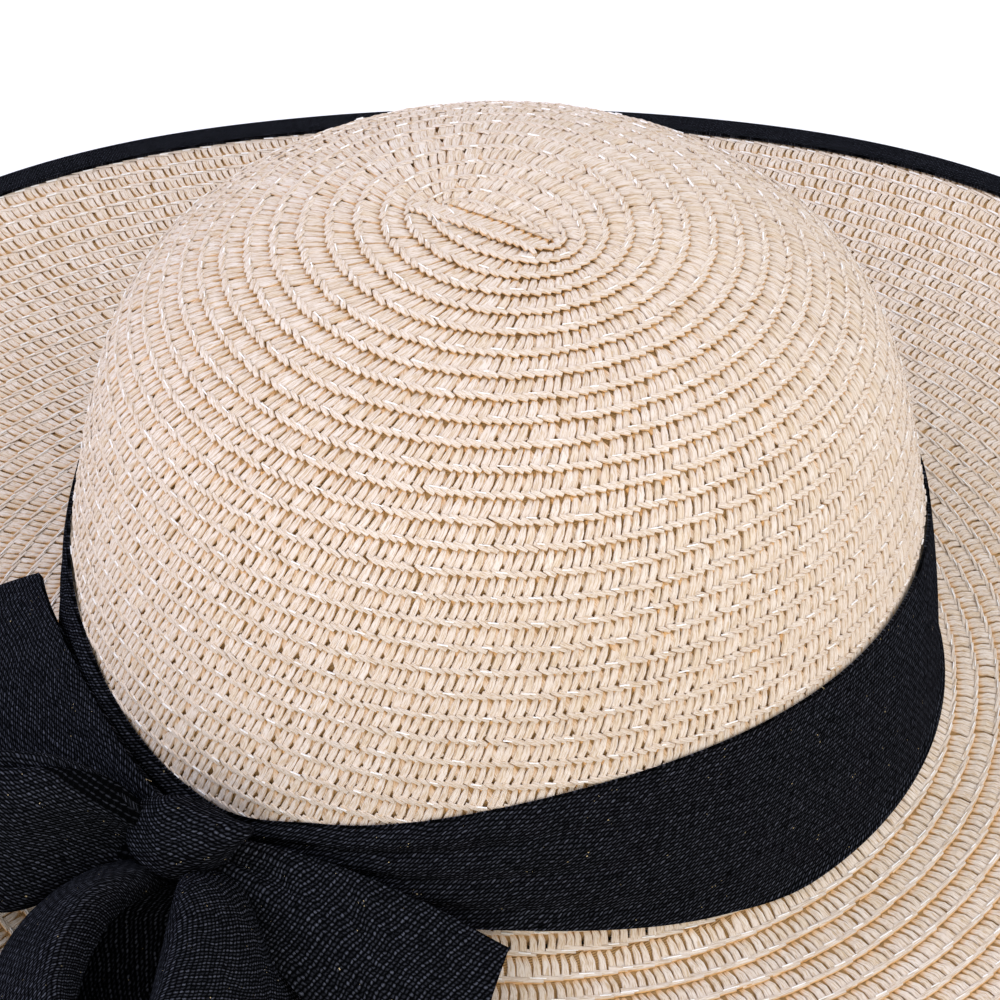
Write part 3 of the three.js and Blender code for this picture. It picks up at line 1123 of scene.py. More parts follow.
def stitches(
    path: SpiralPath, form: StrandForm, spacing: float, bares: Bares, rng: np.random.Generator
) -> Strands:
    """Lays stitches along a spiral, unevenly spaced, where the band leaves it bare.

    Args:
        path: the braid's path.
        form: the stitch's form.
        spacing: mean distance between stitches.
        bares: tells which places the band leaves bare.
        rng: source of the differences between stitches.

    Returns:
        The stitches.
    """
    steps = rng.uniform(*STITCH_STEPS, int(path.length / spacing)) * spacing
    places = np.cumsum(steps)
    places = places[places < path.length - spacing]
    return Strands.lay(path, form, places[bares(path, places)], rng)


def lathe_wall(
    name: str, line: WallLine, first_run: float, last_run: float, depth: float, sides: int, finish: Material
) -> bpy.types.Object:
    """Turns a thin closed wall round the crown's axis, from under the strands to the face within the hat.

    Args:
        name: the piece's name.
        line: the wall line.
        first_run: run of its first ring.
        last_run: run of its last ring.
        depth: how far its outer face lies under the line.
        sides: facets round the axis.
        finish: its material.

    Returns:
        The wall's piece.
    """
    runs = np.append(np.arange(first_run, last_run, RING_STEP), last_run)
    profile = np.concatenate((runs, runs[::-1]))
    inside = np.arange(len(profile)) >= len(runs)
    around_axis = np.linspace(0, TURN, sides, endpoint=False)
    run, angle = (values.ravel() for values in np.meshgrid(profile, around_axis))
    points = line.place(run, angle, np.tile(np.where(inside, -WALL, -depth), sides))
    radius = np.hypot(points[:, 0], points[:, 1])
    counted = np.stack((angle * radius / STRAND_PITCH, run / ROW_PITCH, 0 * radius), -1)
    # The outer face, seen only in the gaps between strands, is all painted shade; the inner face shows cream
    # rows.
    attributes = {"row": counted, "tone": np.tile(inside.astype(float), sides)}
    quads = grid_quads(sides, len(profile), (True, True))
    return make_piece(name, points, [quads], finish, attributes)


@dataclass
class Crown:
    """Crown: the spiral from the apex down to the band, over a shaded wall.

    Attributes:
        line: the crown's outer line.
        foot_run: run at its foot.
        band: the band that hides its lowest rows.
        bar: strand that crosses the row.
        under: strand that shows between two pairs of bars.
        lip: twisted strand along the row's edge.
        stitch: stitch beside the lip.
        close_radii: radii between which the bars become narrower.
        closer: how much broader they are at the apex, as a share.
    """

    line: WallLine
    foot_run: float
    band: "HatBand"
    # In these forms, a station's last number and the shares at the four points are painted light: low for
    # painted shade where a strand goes under, middling for a painted golden glow on a side or at a lip's edge.
    bar: StrandForm = StrandForm(
        stations=(
            (0.66, -0.9, -1.10, 0.40, 0.25),
            (0.58, 0.35, -0.76, 0.56, 0.80),
            (0.14, 1.80, -0.46, 0.74, 1.00),
            (-0.64, 3.70, -0.38, 0.70, 0.96),
        ),
        drops=(-0.36, 0.0, 0.0, -0.42),
        ring=(-1.0, -0.78, 0.78, 1.0),
        tilt=0.05,
        light_shares=(0.7, 1.0, 1.0, 0.38),
        wander=0.11,
    )
    under: StrandForm = StrandForm(
        stations=((-0.9, -0.3, -1.05, 0.85, 0.4), (0.9, 3.2, -0.66, 0.85, 0.9)),
        drops=(-0.3, 0.0, 0.0, -0.3),
    )
    lip: StrandForm = StrandForm(
        stations=(
            (-1.22, 3.40, -0.24, 0.44, 0.90),
            (0.0, 3.93, -0.06, 0.58, 1.00),
            (1.22, 4.58, -0.26, 0.48, 0.80),
        ),
        drops=(-0.4, 0.0, 0.0, -0.36),
        ring=(-1.0, -0.66, 0.78, 1.0),
        tilt=0.06,
        light_shares=(0.44, 0.96, 1.0, 0.9),
        wander=0.13,
        pale=0.4,
    )
    stitch: StrandForm = StrandForm(
        stations=((-0.85, 3.50, 0.08, 0.11, 1.0), (0.85, 3.66, 0.08, 0.11, 1.0)),
        drops=(-0.25, 0.0, 0.0, -0.25),
        wander=0.25,
    )
    stitch_spacing: float = 10.5
    close_radii: Pair = (25.0, 80.0)
    closer: float = 0.2
    first_run: float = 10.52
    end_gap: float = 4.0  # from the braid's end to the foot
    start_angle: float = -31.0
    start_turn: float = -1.05
    core_shift: float = 8.5
    core_reach: float = 11.0
    stretch_length: float = 30.0
    stretch_middle: Pair = (-4.0, -10.0)
    stretch_rise: float = 0.35
    wall_start: float = 0.1
    wall_depth: float = 1.22
    wall_sides: int = 120
    pieces: int = 2
    seed: int = 11

    def build(self, braid: Material, wall: Material, thread: Material) -> None:
        """Builds the wall, the braid in a few pieces, its first stretch and its stitches.

        Args:
            braid: finish of the strands.
            wall: finish of the wall.
            thread: finish of the stitches.
        """
        depth, sides = self.wall_depth, self.wall_sides
        shell = lathe_wall("crown_wall", self.line, self.wall_start, self.foot_run, depth, sides, wall)
        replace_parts(shell, "crown")
        rng = np.random.default_rng(self.seed)
        path = SpiralPath(
            self.line,
            self.first_run,
            self.foot_run - self.end_gap,
            core_shift=self.core_shift,
            oval_reach=self.core_reach,
            start_angle=self.start_angle,
            start_turn=self.start_turn,
        )
        bares = self.band.bares_above
        for number, part in enumerate(even_parts(bare_places(path, bares, rng), self.pieces), 1):
            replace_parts(self.strands(path, part, rng).piece(f"crown_braid_{number}", braid), "crown")
        length, rise = self.stretch_length, self.stretch_rise
        start = StraightPath(self.line, length, self.start_angle, self.stretch_middle, rise)
        self.strands(start, braid_places(length, rng), rng).piece("braid_start", braid)
        stitches(path, self.stitch, self.stitch_spacing, bares, rng).piece("crown_stitches", thread)

    def strands(self, path: Path, places: np.ndarray, rng: np.random.Generator) -> Strands:
        """Lays bars, the strands under them and lips, with broader bars round the apex.

        Args:
            path: the braid's path.
            places: lengths along it.
            rng: source of the differences between strands.

        Returns:
            The strands.
        """
        points = path.place(places, np.zeros_like(places), np.zeros_like(places))
        near = 1 - smooth_step(np.hypot(points[:, 0], points[:, 1]), *self.close_radii)
        return Strands.join(
            Strands.lay(path, self.bar, paired(places), rng, 1 + self.closer * near),
            Strands.lay(path, self.under, between(places), rng),
            Strands.lay(path, self.lip, places, rng),
        )


@dataclass
class Brim:
    """Brim: the spiral from the crown's foot out to the binding, over a shaded wall.

    Attributes:
        line: the brim's top line.
        bound_run: run where the binding begins.
        edge_run: run at the braid's edge.
        band: the band that hides its first rows.
        bar: strand that crosses the row.
        lip: long strand that lies slanting along the row's edge.
        stitch: stitch beside the lip.
    """

    line: WallLine
    bound_run: float
    edge_run: float
    band: "HatBand"
    # In these forms, a station's last number and the shares at the four points are painted light: low for
    # painted shade where a strand goes under, middling for a painted golden glow on a side or at a lip's edge.
    bar: StrandForm = StrandForm(
        stations=(
            (-0.60, -0.9, -1.00, 0.46, 0.30),
            (0.10, 1.60, -0.40, 0.74, 1.00),
            (0.00, 3.95, -0.42, 0.88, 0.96),
        ),
        drops=(-0.32, 0.0, 0.0, -0.36),
        ring=(-1.0, -0.8, 0.8, 1.0),
        tilt=0.05,
        light_shares=(0.7, 1.0, 1.0, 0.42),
        wander=0.13,
    )
    lip: StrandForm = StrandForm(
        stations=((-2.75, 3.70, -0.30, 0.64, 1.0), (2.75, 4.26, 0.02, 0.34, 1.0)),
        drops=(-0.5, 0.0, -0.03, -0.18),
        ring=(-1.0, -0.45, 0.7, 1.0),
        tilt=0.04,
        light_shares=(0.34, 0.94, 1.0, 1.0),
        wander=0.12,
        pale=0.6,
    )
    stitch: StrandForm = StrandForm(
        stations=((-1.2, 3.62, 0.10, 0.11, 1.0), (1.2, 3.86, 0.10, 0.11, 1.0)),
        drops=(-0.25, 0.0, 0.0, -0.25),
        wander=0.25,
    )
    stitch_spacing: float = 7.2
    first_run: float = -2.31
    start_turn: float = -3.4
    bound_lap: float = 0.6  # how far the last row's inner edge goes on under the binding
    wall_depth: float = 0.95
    wall_sides: int = 160
    pieces: int = 3
    seed: int = 23

    def build(self, braid: Material, wall: Material, thread: Material) -> None:
        """Builds the wall, the braid in a few pieces, and its stitches.

        Args:
            braid: finish of the strands.
            wall: finish of the wall.
            thread: finish of the stitches.
        """
        depth, sides = self.wall_depth, self.wall_sides
        shell = lathe_wall("brim_wall", self.line, 0.0, self.edge_run, depth, sides, wall)
        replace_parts(shell, "brim")
        rng = np.random.default_rng(self.seed)
        last_run = self.bound_run + self.bound_lap
        path = SpiralPath(self.line, self.first_run, last_run, start_turn=self.start_turn)
        bares = self.band.bares_below
        for number, part in enumerate(even_parts(bare_places(path, bares, rng), self.pieces), 1):
            strands = Strands.join(
                Strands.lay(path, self.bar, part, rng),
                Strands.lay(path, self.lip, part[::2], rng),
            )
            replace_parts(strands.piece(f"brim_braid_{number}", braid), "brim")
        stitches(path, self.stitch, self.stitch_spacing, bares, rng).piece("brim_stitches", thread)


# Cloth


@dataclass
class Binding:
    """Black tape folded over the brim's edge, its ends meeting at the back.

    Attributes:
        cloth: thickness of the tape.
        width: how far its flaps reach in over the brim.
        gap: room between tape and braid.
        press: how far the upper flap's edge is pressed down.
        seam_angle: plan angle of its seam.
        sides: steps round the edge.
        flap_points: points of a flap's section.
        fold_points: points of the fold's section.
        weave_step: way across the tape from one point of its section to the next.
        flat_width: width of the tape in metres, laid flat; not used.
    """

    cloth: float = 1.0
    width: float = 6.4
    gap: float = 0.3
    press: float = 0.35
    seam_angle: float = 90.0
    sides: int = 300
    flap_points: int = 3
    fold_points: int = 7
    weave_step: float = 1.9
    flat_width: float = 0.0215

    def build(self, linen: Material) -> None:
        """Builds the tape: a section of upper flap, half-round fold and lower flap, carried round the edge.

        Args:
            linen: its finish.
        """
        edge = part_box("brim_binding")[1].x / MM
        fold = (WALL + 2 * self.gap + self.cloth) / 2
        bend = np.radians(np.linspace(90, -90, self.fold_points))
        bend_middle = edge - self.cloth / 2 - fold
        flap_start = edge - self.cloth - self.gap - self.width
        flap = np.linspace(flap_start, bend_middle, self.flap_points + 1)[:-1]
        radius = np.concatenate((flap, bend_middle + fold * np.cos(bend), flap[::-1]))
        upper = np.full(self.flap_points, fold)
        upper[0] -= self.press
        level = np.concatenate((upper, fold * np.sin(bend), np.full(self.flap_points, -fold))) + WALL / 2
        turn = np.radians(self.seam_angle) + np.linspace(0, TURN, self.sides + 1)
        radius, angle = np.meshgrid(radius, turn)
        rest = np.stack((radius, np.broadcast_to(level, radius.shape)), -1)
        tangent = np.gradient(rest, axis=1)
        normal = np.stack((tangent[..., 1], -tangent[..., 0]), -1)
        normal /= np.linalg.norm(normal, axis=-1, keepdims=True)
        faces = []
        for sign in (1, -1):
            moved = rest + sign * normal * self.cloth / 2
            lift = edge_lift(moved[..., 0], angle)
            faces.append(around(np.degrees(angle), moved[..., 0], moved[..., 1] + lift))
        points, quads = thick_sheet(*faces)
        across = np.cumsum(np.full(radius.shape, self.weave_step), axis=1)
        weave = both_faces(np.stack((angle * edge, across, 0 * angle), -1))
        piece = make_piece("brim_binding_tape", points, quads, linen, weave)
        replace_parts(piece, "brim_binding")


@dataclass
class HatBand:
    """Black cloth band round the foot of the crown, drawn together and gathered at the knot.

    Attributes:
        line: the crown's wall.
        brim: the brim's wall, which the foot flares out on.
        cloth: thickness of the cloth.
        gap: room between band and crown.
        top_level: level of the top edge.
        foot_level: level of the foot.
        dip: how far the top edge is drawn down at the knot.
        dip_spread: turns over which it is.
        sag: how far the top edge sags on the knot's left.
        sag_turns: turns from the knot where the sag begins, is full, lessens and ends.
        rise: how far the foot is drawn up about the knot.
        rise_turns: turns from the knot between which that fades.
        tie_rise: how much further it is drawn up at the knot.
        tie_spread: turns over which it is.
        gather_spread: turns over which the pleats fade away from the knot.
        pleat_height: height of the pleats.
        pleats: how many lie side by side.
        pleat_power: roundness of the pleats.
        hem: height of the hem over the foot.
        hem_height: how far it stands out.
        hem_step: half the height over which it does.
        tuck: how far the rows of braid go on behind the band.
        skew: lean of the yarns that run across.
        sides: steps round the band.
        rows: steps across it.
        flat_size: width and length of the cloth in metres, laid flat; not used.
    """

    line: WallLine
    brim: WallLine
    cloth: float = 0.6
    gap: float = 0.15
    top_level: float = 55.0
    foot_level: float = 12.5
    dip: float = 18.0
    dip_spread: float = 25.0
    sag: float = 3.5
    sag_turns: Four = (-70.0, -35.0, -2.0, 13.0)
    rise: float = 7.8
    rise_turns: Pair = (35.0, 76.0)
    tie_rise: float = 4.5
    tie_spread: float = 22.0
    gather_spread: float = 40.0
    pleat_height: float = 2.4
    pleats: float = 3.5
    pleat_power: float = 0.8
    hem: float = 3.6
    hem_height: float = 0.2
    hem_step: float = 0.3
    tuck: float = 5.0
    skew: float = 0.2
    sides: int = 280
    rows: int = 40
    flat_size: Pair = (0.042, 0.585)

    def top(self, angle: np.ndarray) -> np.ndarray:
        """Works out the level of the top edge, drawn down in a bell at the knot, and sagging on its left.

        Args:
            angle: plan angles.

        Returns:
            The levels.
        """
        turn = from_knot(angle)
        first, full, last, end = self.sag_turns
        sag = self.sag * smooth_step(turn, first, full) * (1 - smooth_step(turn, last, end))
        return self.top_level - self.dip * bell(turn, self.dip_spread) - sag

    def foot(self, angle: np.ndarray) -> np.ndarray:
        """Works out the level of the foot, drawn up towards the knot, and more in a bell at it.

        Args:
            angle: plan angles.

        Returns:
            The levels.
        """
        turn = from_knot(angle)
        drawn = self.rise * (1 - smooth_step(np.abs(turn), *self.rise_turns))
        return self.foot_level + drawn + self.tie_rise * bell(turn, self.tie_spread)

    def bares_above(self, path: SpiralPath, places: np.ndarray) -> np.ndarray:
        """Whether each place along the crown's spiral lies above the band, or just under its top edge."""
        level, angle = self.level_and_angle(path, places)
        return level > self.top(angle) - self.tuck

    def bares_below(self, path: SpiralPath, places: np.ndarray) -> np.ndarray:
        """Whether each place along the brim's spiral lies below the band, or just under its foot."""
        level, angle = self.level_and_angle(path, places)
        return level < self.foot(angle) + self.tuck

    def level_and_angle(self, path: SpiralPath, places: np.ndarray) -> tuple[np.ndarray, np.ndarray]:
        """Level and plan angle of the row's inner edge at places along a spiral."""
        points = path.place(places, np.zeros_like(places), np.zeros_like(places))
        return points[:, 2], np.degrees(np.arctan2(points[:, 1], points[:, 0]))

    def build(self, linen: Material) -> None:
        """Builds the band: a grid round the crown, with pleats that fade away from the knot.

        The pleats are a power of the sine's size across the band, times a bell round the knot.

        Args:
            linen: its finish.
        """
        turn = KNOT_ANGLE + np.linspace(0, 360, self.sides + 1)
        share = np.linspace(0, 1, self.rows + 1)
        angle, place = np.meshgrid(turn, share, indexing="ij")
        foot = self.foot(angle)
        level = mix(self.top(angle), foot, place)
        pleat = np.abs(np.sin(math.pi * self.pleats * place)) ** self.pleat_power
        swell = self.pleat_height * pleat * np.exp(-((from_knot(angle) / self.gather_spread) ** 2))
        hem_ends = (self.hem - self.hem_step, self.hem + self.hem_step)
        hem = self.hem_height * (1 - smooth_step(level - foot, *hem_ends))
        on_brim = np.maximum(self.brim.radius_at_level(level) - self.brim.start_radius, 0)
        inner = self.line.radius_at_level(level) + on_brim + self.gap
        front = around(angle, inner + self.cloth + swell + hem, level)
        points, quads = thick_sheet(front, around(angle, inner, level))
        weave = both_faces(cloth_place(front, self.skew))
        piece = make_piece("hat_band_cloth", points, quads, linen, weave)
        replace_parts(piece, "hat_band")


@dataclass(frozen=True)
class LoopForm:
    """Form of one bow loop, from the knot's middle along its heading.

    Attributes:
        name: the piece's name.
        node: the solid that it stands for.
        heading: turn of the loop's direction from straight out, towards the right.
        start: where it leaves the middle of the knot.
        reach: how far its top edge and its foot go.
        top: half breadth of the opening at the top, left and right.
        foot: half breadth at the foot, left and right.
        spread: how slowly that breadth grows, left and right, as a power.
        top_levels: levels of the top edge at even steps out from the knot.
        foot_levels: levels of the foot at the same steps.
        bulge: how far the cloth swells out between them, left and right.
        folds: folds across the cloth where it leaves the knot.
        neck: share of its breadth where it leaves the knot.
        skew: lean of the yarns that run across it.
    """

    name: str
    node: str
    heading: float
    start: float
    reach: Pair
    top: Pair
    foot: Pair
    spread: Pair
    top_levels: tuple[float, ...]
    foot_levels: tuple[float, ...]
    bulge: Pair
    folds: float
    neck: float
    skew: float


@dataclass(frozen=True)
class TailForm:
    """Form of one bow tail, from within the knot to its cut end.

    Attributes:
        name: the piece's name.
        node: the solid that it stands for.
        rows: sections, each with plan angle, radius and level of the edge by the band, the same of the outer
            edge, and the swell of the cloth between them.
        folds: folds across the cloth.
        skew: lean of the yarns that run across it.
    """

    name: str
    node: str
    rows: tuple[tuple[float, ...], ...]
    folds: float
    skew: float


@dataclass(frozen=True)
class Knot:
    """Wrapped knot: a squared ellipsoid that tapers to the right, grooved between the wraps of cloth.

    Attributes:
        half: half its length, depth and height.
        middle: its middle, to the right, outward and up from the bow's.
        tilt: how far its axis rises to the right.
        bend: how far its right end bends in.
        powers: roundness of its left and right ends.
        taper: share by which it narrows to the right.
        grooves: rows of depth, place along, spread, and sway round the knot.
        ripple: height of the folds round a wrap, how many there are, and their twist.
        rows: steps along.
        sides: steps round.
        fill: how tight it is packed; not used.
    """

    half: Triple = (17.0, 8.2, 8.6)
    middle: Triple = (-0.2, 1.5, 2.6)
    tilt: float = 30.0
    bend: float = 3.0
    powers: Pair = (0.4, 0.8)
    taper: float = 0.65
    grooves: tuple[Four, ...] = ((0.32, -0.48, 0.07, 0.12), (0.08, 0.30, 0.06, 0.0))
    ripple: Triple = (0.03, 4, 2.0)
    rows: int = 56
    sides: int = 80
    fill: float = 0.8

    def build(self, linen: Material) -> None:
        """Builds the knot: rings of points between two end points.

        A ring's girth is a power of the sine along the knot, less the grooves' bells and a smooth taper.

        Args:
            linen: its finish.
        """
        lean = np.linspace(0, math.pi, self.rows + 1)[1:-1]
        turn = np.linspace(0, TURN, self.sides, endpoint=False)
        lean, turn = np.meshgrid(lean, turn, indexing="ij")
        along = -np.cos(lean)
        grooves = sum(
            depth * bell(along - place + sway * np.sin(turn), spread)
            for depth, place, spread, sway in self.grooves
        )
        girth = np.sin(lean) ** np.where(along < 0, *self.powers)
        girth = girth * (1 - grooves) * (1 - self.taper * smooth_step(along, 0.0, 1.0))
        height, folds, twist = self.ripple
        wrap = 1 + height * np.cos(folds * turn + twist * along)
        length, out, up = self.half
        body = self.point(length * along, out * girth * wrap * np.cos(turn), up * girth * wrap * np.sin(turn))
        ends = (self.point(-length, 0.0, 0.0), self.point(length, 0.0, 0.0))
        points = np.concatenate((body.reshape(-1, 3), *(end.reshape(-1, 3) for end in ends)))
        count = body.shape[0] * self.sides
        column = np.arange(self.sides)
        after = (column + 1) % self.sides
        first = np.stack((np.full(self.sides, count), column, after), -1)
        last_row = count - self.sides
        last = np.stack((np.full(self.sides, count + 1), last_row + after, last_row + column), -1)
        faces = [grid_quads(body.shape[0], self.sides, (False, True)), first, last]
        arc = np.where(turn > math.pi, turn - TURN, turn)
        flat = np.stack((along * length, arc * girth * up, 0 * turn), -1).reshape(-1, 3)
        weave = {"cloth": np.concatenate((flat, np.zeros((2, 3))))}
        piece = make_piece("bow_knot_wrap", points, faces, linen, weave)
        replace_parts(piece, "bow_knot")

    def point(self, along: np.ndarray | float, out: np.ndarray | float, up: np.ndarray | float) -> Points:
        """Places points about the knot's own axis.

        Args:
            along: ways along the axis, to the right.
            out: ways outward from it.
            up: ways up from it.

        Returns:
            The points.
        """
        tilt = math.radians(self.tilt)
        right, forward, high = self.middle
        bent = forward + out - self.bend * np.maximum(along / self.half[0], 0) ** 2
        across = right + along * math.cos(tilt) - up * math.sin(tilt)
        return bow_point(across, bent, high + along * math.sin(tilt) + up * math.cos(tilt))


@dataclass
class Bow:
    """Bow: the wrapped knot, two loops and two cut ends.

    Attributes:
        cloth: thickness of the cloth.
        hem: width of the tails' hems.
        hem_height: how far a hem stands out on each face.
        hem_step: half the width over which it does.
        fold_height: height of the folds at the knot.
        neck_shares: shares of the way out between which a loop broadens from its neck.
        swell_power: how soon a loop's swell grows.
        swell_side: share of the swell sideways.
        swell_up: share of the swell upward.
        top_power: how soon a loop's top opens.
        loop_fold_turn: how far a loop's folds turn along it.
        loop_fold_fade: power by which they fade along it.
        loop_fold_start: share of the way out where they are full.
        loop_points: points along a loop.
        level_points: points along its edges' levels.
        section_points: points across it.
        tail_fold_turn: how far a tail's folds turn along it.
        tail_fold_start: share of its length where they are full.
        tail_points: points along and across a tail.
        section: rows across a loop's cloth, from the edge turned in at the top to the edge underneath: share
            of the way from top to foot, share of the swell, share of the breadth, way inwards, and drop.
        knot: the knot.
        loops: the loops.
        tails: the tails.
    """

    cloth: float = 0.9
    hem: float = 4.0
    hem_height: float = 0.4
    hem_step: float = 0.4
    fold_height: float = 1.5
    neck_shares: Pair = (0.06, 0.36)
    swell_power: float = 0.5
    swell_side: float = 0.5
    swell_up: float = 0.7
    top_power: float = 0.15
    loop_fold_turn: float = 1.3
    loop_fold_fade: float = 1.5
    loop_fold_start: float = 0.08
    loop_points: int = 101
    level_points: int = 41
    section_points: int = 43
    tail_fold_turn: float = 0.8
    tail_fold_start: float = 0.15
    tail_points: tuple[int, int] = (73, 53)
    section: tuple[tuple[float, float, float, float, float], ...] = (
        (0.0, 0.0, 1.0, 3.0, 7.0),
        (0.0, 0.3, 1.0, 0.0, 0.0),
        (0.38, 1.0, 1.0, 0.0, 0.0),
        (0.75, 0.7, 1.0, 0.0, 0.0),
        (1.0, 0.15, 1.0, 0.0, 0.0),
        (1.0, 0.0, 0.5, 0.0, 0.8),
        (1.0, 0.0, 0.12, 0.0, 1.0),
    )
    knot: Knot = Knot()
    loops: tuple[LoopForm, ...] = (
        LoopForm(
            name="bow_left_loop",
            node="bow_loop_left",
            heading=-66,
            start=5.0,
            reach=(78, 82),
            top=(2.0, 2.5),
            foot=(12, 14),
            spread=(0.6, 0.6),
            top_levels=(3, 12.5, 15.5, 14.8, 14, 13.5, 13, 11.5, 9.5),
            foot_levels=(-4, -6.4, -8.6, -10.4, -12, -14.2, -16, -17.6, -19),
            bulge=(4, 5),
            folds=3.0,
            neck=0.22,
            skew=0.45,
        ),
        LoopForm(
            name="bow_lower_loop",
            node="bow_loop_lower",
            heading=28,
            start=1.0,
            reach=(62, 80),
            top=(17, 4.5),
            foot=(36, 26),
            spread=(0.45, 0.6),
            top_levels=(-4, 4, 6, 5, 2),
            foot_levels=(-10, -22, -25, -26, -26),
            bulge=(8, 8),
            folds=3.0,
            neck=0.92,
            skew=0.0,
        ),
    )
    tails: tuple[TailForm, ...] = (
        TailForm(
            name="bow_upper_tail",
            node="bow_tail_upper",
            rows=(
                (-127, 99.5, 37, -128, 103, 31, 0),
                (-134, 96.4, 38, -135, 104, 28, 0.5),
                (-147, 92.4, 38.5, -147, 109, 21, 1.4),
                (-161, 91.8, 38.8, -161, 119, 13.5, 2.2),
                (-176, 94.8, 36.2, -181, 127, 9.5, 2.6),
            ),
            folds=2.0,
            skew=0.4,
        ),
        TailForm(
            name="bow_right_tail",
            node="bow_tail_right",
            rows=(
                (-122, 99.5, 38, -122.5, 105, 31, 0),
                (-115.6, 96.6, 37, -116, 108.5, 28, 1.0),
                (-107, 96, 35.6, -107.5, 117, 21, 2.4),
                (-97.5, 97, 30.5, -100, 126, 13.5, 3.2),
                (-89.2, 99.5, 23, -93.5, 131, 7.6, 3.4),
            ),
            folds=2.0,
            skew=-0.6,
        ),
    )

    def build(self, linen: Material) -> None:
        """Builds the knot, the loops and the tails.

        Args:
            linen: their finish.
        """
        self.knot.build(linen)
        for loop in self.loops:
            self.build_sheet(loop, self.loop_grid(loop), linen, hemmed=False)
        for tail in self.tails:
            self.build_sheet(tail, self.tail_grid(tail), linen, hemmed=True)

    def build_sheet(
        self, form: LoopForm | TailForm, grid: Points, linen: Material, hemmed: bool
    ) -> None:
        """Args:
            form: the loop or tail.
            grid: points of the cloth's middle, along by across.
            linen: its finish.
            hemmed: whether the edge by the band and the cut end are turned in and sewn.
        """
        flat = cloth_place(grid)
        half = np.full(grid.shape[:2], self.cloth / 2)
        if hemmed:
            from_edge = np.minimum(flat[..., 1] - flat[:, :1, 1], flat[-1:, :, 0] - flat[..., 0])
            hem_ends = (self.hem - self.hem_step, self.hem + self.hem_step)
            half += self.hem_height * (1 - smooth_step(from_edge, *hem_ends))
        normal = grid_normals(grid) * half[..., None]
        points, quads = thick_sheet(grid + normal, grid - normal)
        weave = both_faces(cloth_place(grid, form.skew))
        piece = make_piece(form.name, points, quads, linen, weave)
        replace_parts(piece, form.node)

    def loop_grid(self, loop: LoopForm) -> Points:
        """Works out a loop's middle surface: it leaves the knot, swells, turns over and comes back.

        Along the cloth, the way out is (1 - cos) / 2 of a full turn and the breadth a power of its sine.
        Across it, the cloth rolls over the top edge, falls in a swelling face, and turns in underneath.

        Args:
            loop: the loop's form.

        Returns:
            The points, along by across.
        """
        phase = np.linspace(0, TURN, self.loop_points)
        share = (1 - np.cos(phase)) / 2
        wide = np.abs(np.sin(phase))
        sign = np.where(phase < math.pi, 1.0, -1.0)
        pairs = (loop.top, loop.foot, loop.spread, loop.bulge)
        top, foot, spread, bulge = (np.where(sign > 0, right, left) for left, right in pairs)
        steps = np.linspace(0, 1, self.level_points)
        high, low = (
            np.interp(share, steps, smooth_rows(np.array(levels, float), self.level_points))
            for levels in (loop.top_levels, loop.foot_levels)
        )
        down, swell, keep, inward, drop = np.array(self.section).T[:, :, None]
        bulge = swell * bulge * wide ** self.swell_power
        neck = mix(loop.neck, 1, smooth_step(share, *self.neck_shares))
        breadth = mix(top * wide * share ** self.top_power, foot * wide ** spread, down)
        side = ((breadth + self.swell_side * bulge) * keep - inward * wide) * neck
        level = mix(high, low, down) + self.swell_up * bulge - drop * wide
        forward = mix(loop.start, mix(*loop.reach, down), share)
        lines = np.stack(np.broadcast_arrays(forward, sign * side, level), -1)
        lines = smooth_rows(lines, self.section_points).swapaxes(0, 1)
        forward, side, level = np.moveaxis(lines, -1, 0)
        across = np.linspace(0, 1, self.section_points)[None, :]
        fold = np.cos(TURN * loop.folds * across + self.loop_fold_turn * phase[:, None])
        fade = (1 - share) ** self.loop_fold_fade * smooth_step(share, 0, self.loop_fold_start) * sign
        side = side + self.fold_height * fold * fade[:, None]
        turn = math.radians(loop.heading)
        right = forward * math.sin(turn) + side * math.cos(turn)
        return bow_point(right, forward * math.cos(turn) - side * math.sin(turn), level)

    def tail_grid(self, tail: TailForm) -> Points:
        """Works out a tail's middle surface: straight lines from edge to edge, swollen and folded between.

        Swell and folds are times a half sine across, and the folds a sine across that fades along the tail.

        Args:
            tail: the tail's form.

        Returns:
            The points, along by across.
        """
        along_points, across_points = self.tail_points
        rows = smooth_rows(np.array(tail.rows, float), along_points)
        inner = around(rows[:, 0], rows[:, 1], rows[:, 2])
        outer = around(rows[:, 3], rows[:, 4], rows[:, 5])
        across = np.linspace(0, 1, across_points)[None, :]
        grid = mix(inner[:, None, :], outer[:, None, :], across[..., None])
        out = np.linspace(0, 1, along_points)[:, None]
        fold = self.fold_height * np.sin(TURN * tail.folds * across + self.tail_fold_turn * out)
        fold = fold * (1 - out) * smooth_step(out, 0, self.tail_fold_start)
        grid[..., 2] += (rows[:, 6][:, None] + fold) * np.sin(math.pi * across)
        return grid


# Studio


@dataclass(frozen=True)
class SoftBox:
    """Square area light, with its place and size in metres and its power in watts."""

    name: str
    place: Triple
    size: float
    power: float
    colour: Colour

    def build(self, aim: Triple) -> None:
        """Adds the light, turned to a point.

        Args:
            aim: the point that it faces, in metres.
        """
        data = bpy.data.lights.new(self.name, "AREA")
        data.size = self.size
        data.energy = self.power
        data.color = self.colour
        light = bpy.data.objects.new(self.name, data)
        light.location = self.place
        x, y, z = np.array(aim) - np.array(self.place)
        light.rotation_euler = (math.atan2(math.hypot(x, y), -z), 0, math.atan2(y, x) - math.pi / 2)
        bpy.context.scene.collection.objects.link(light)


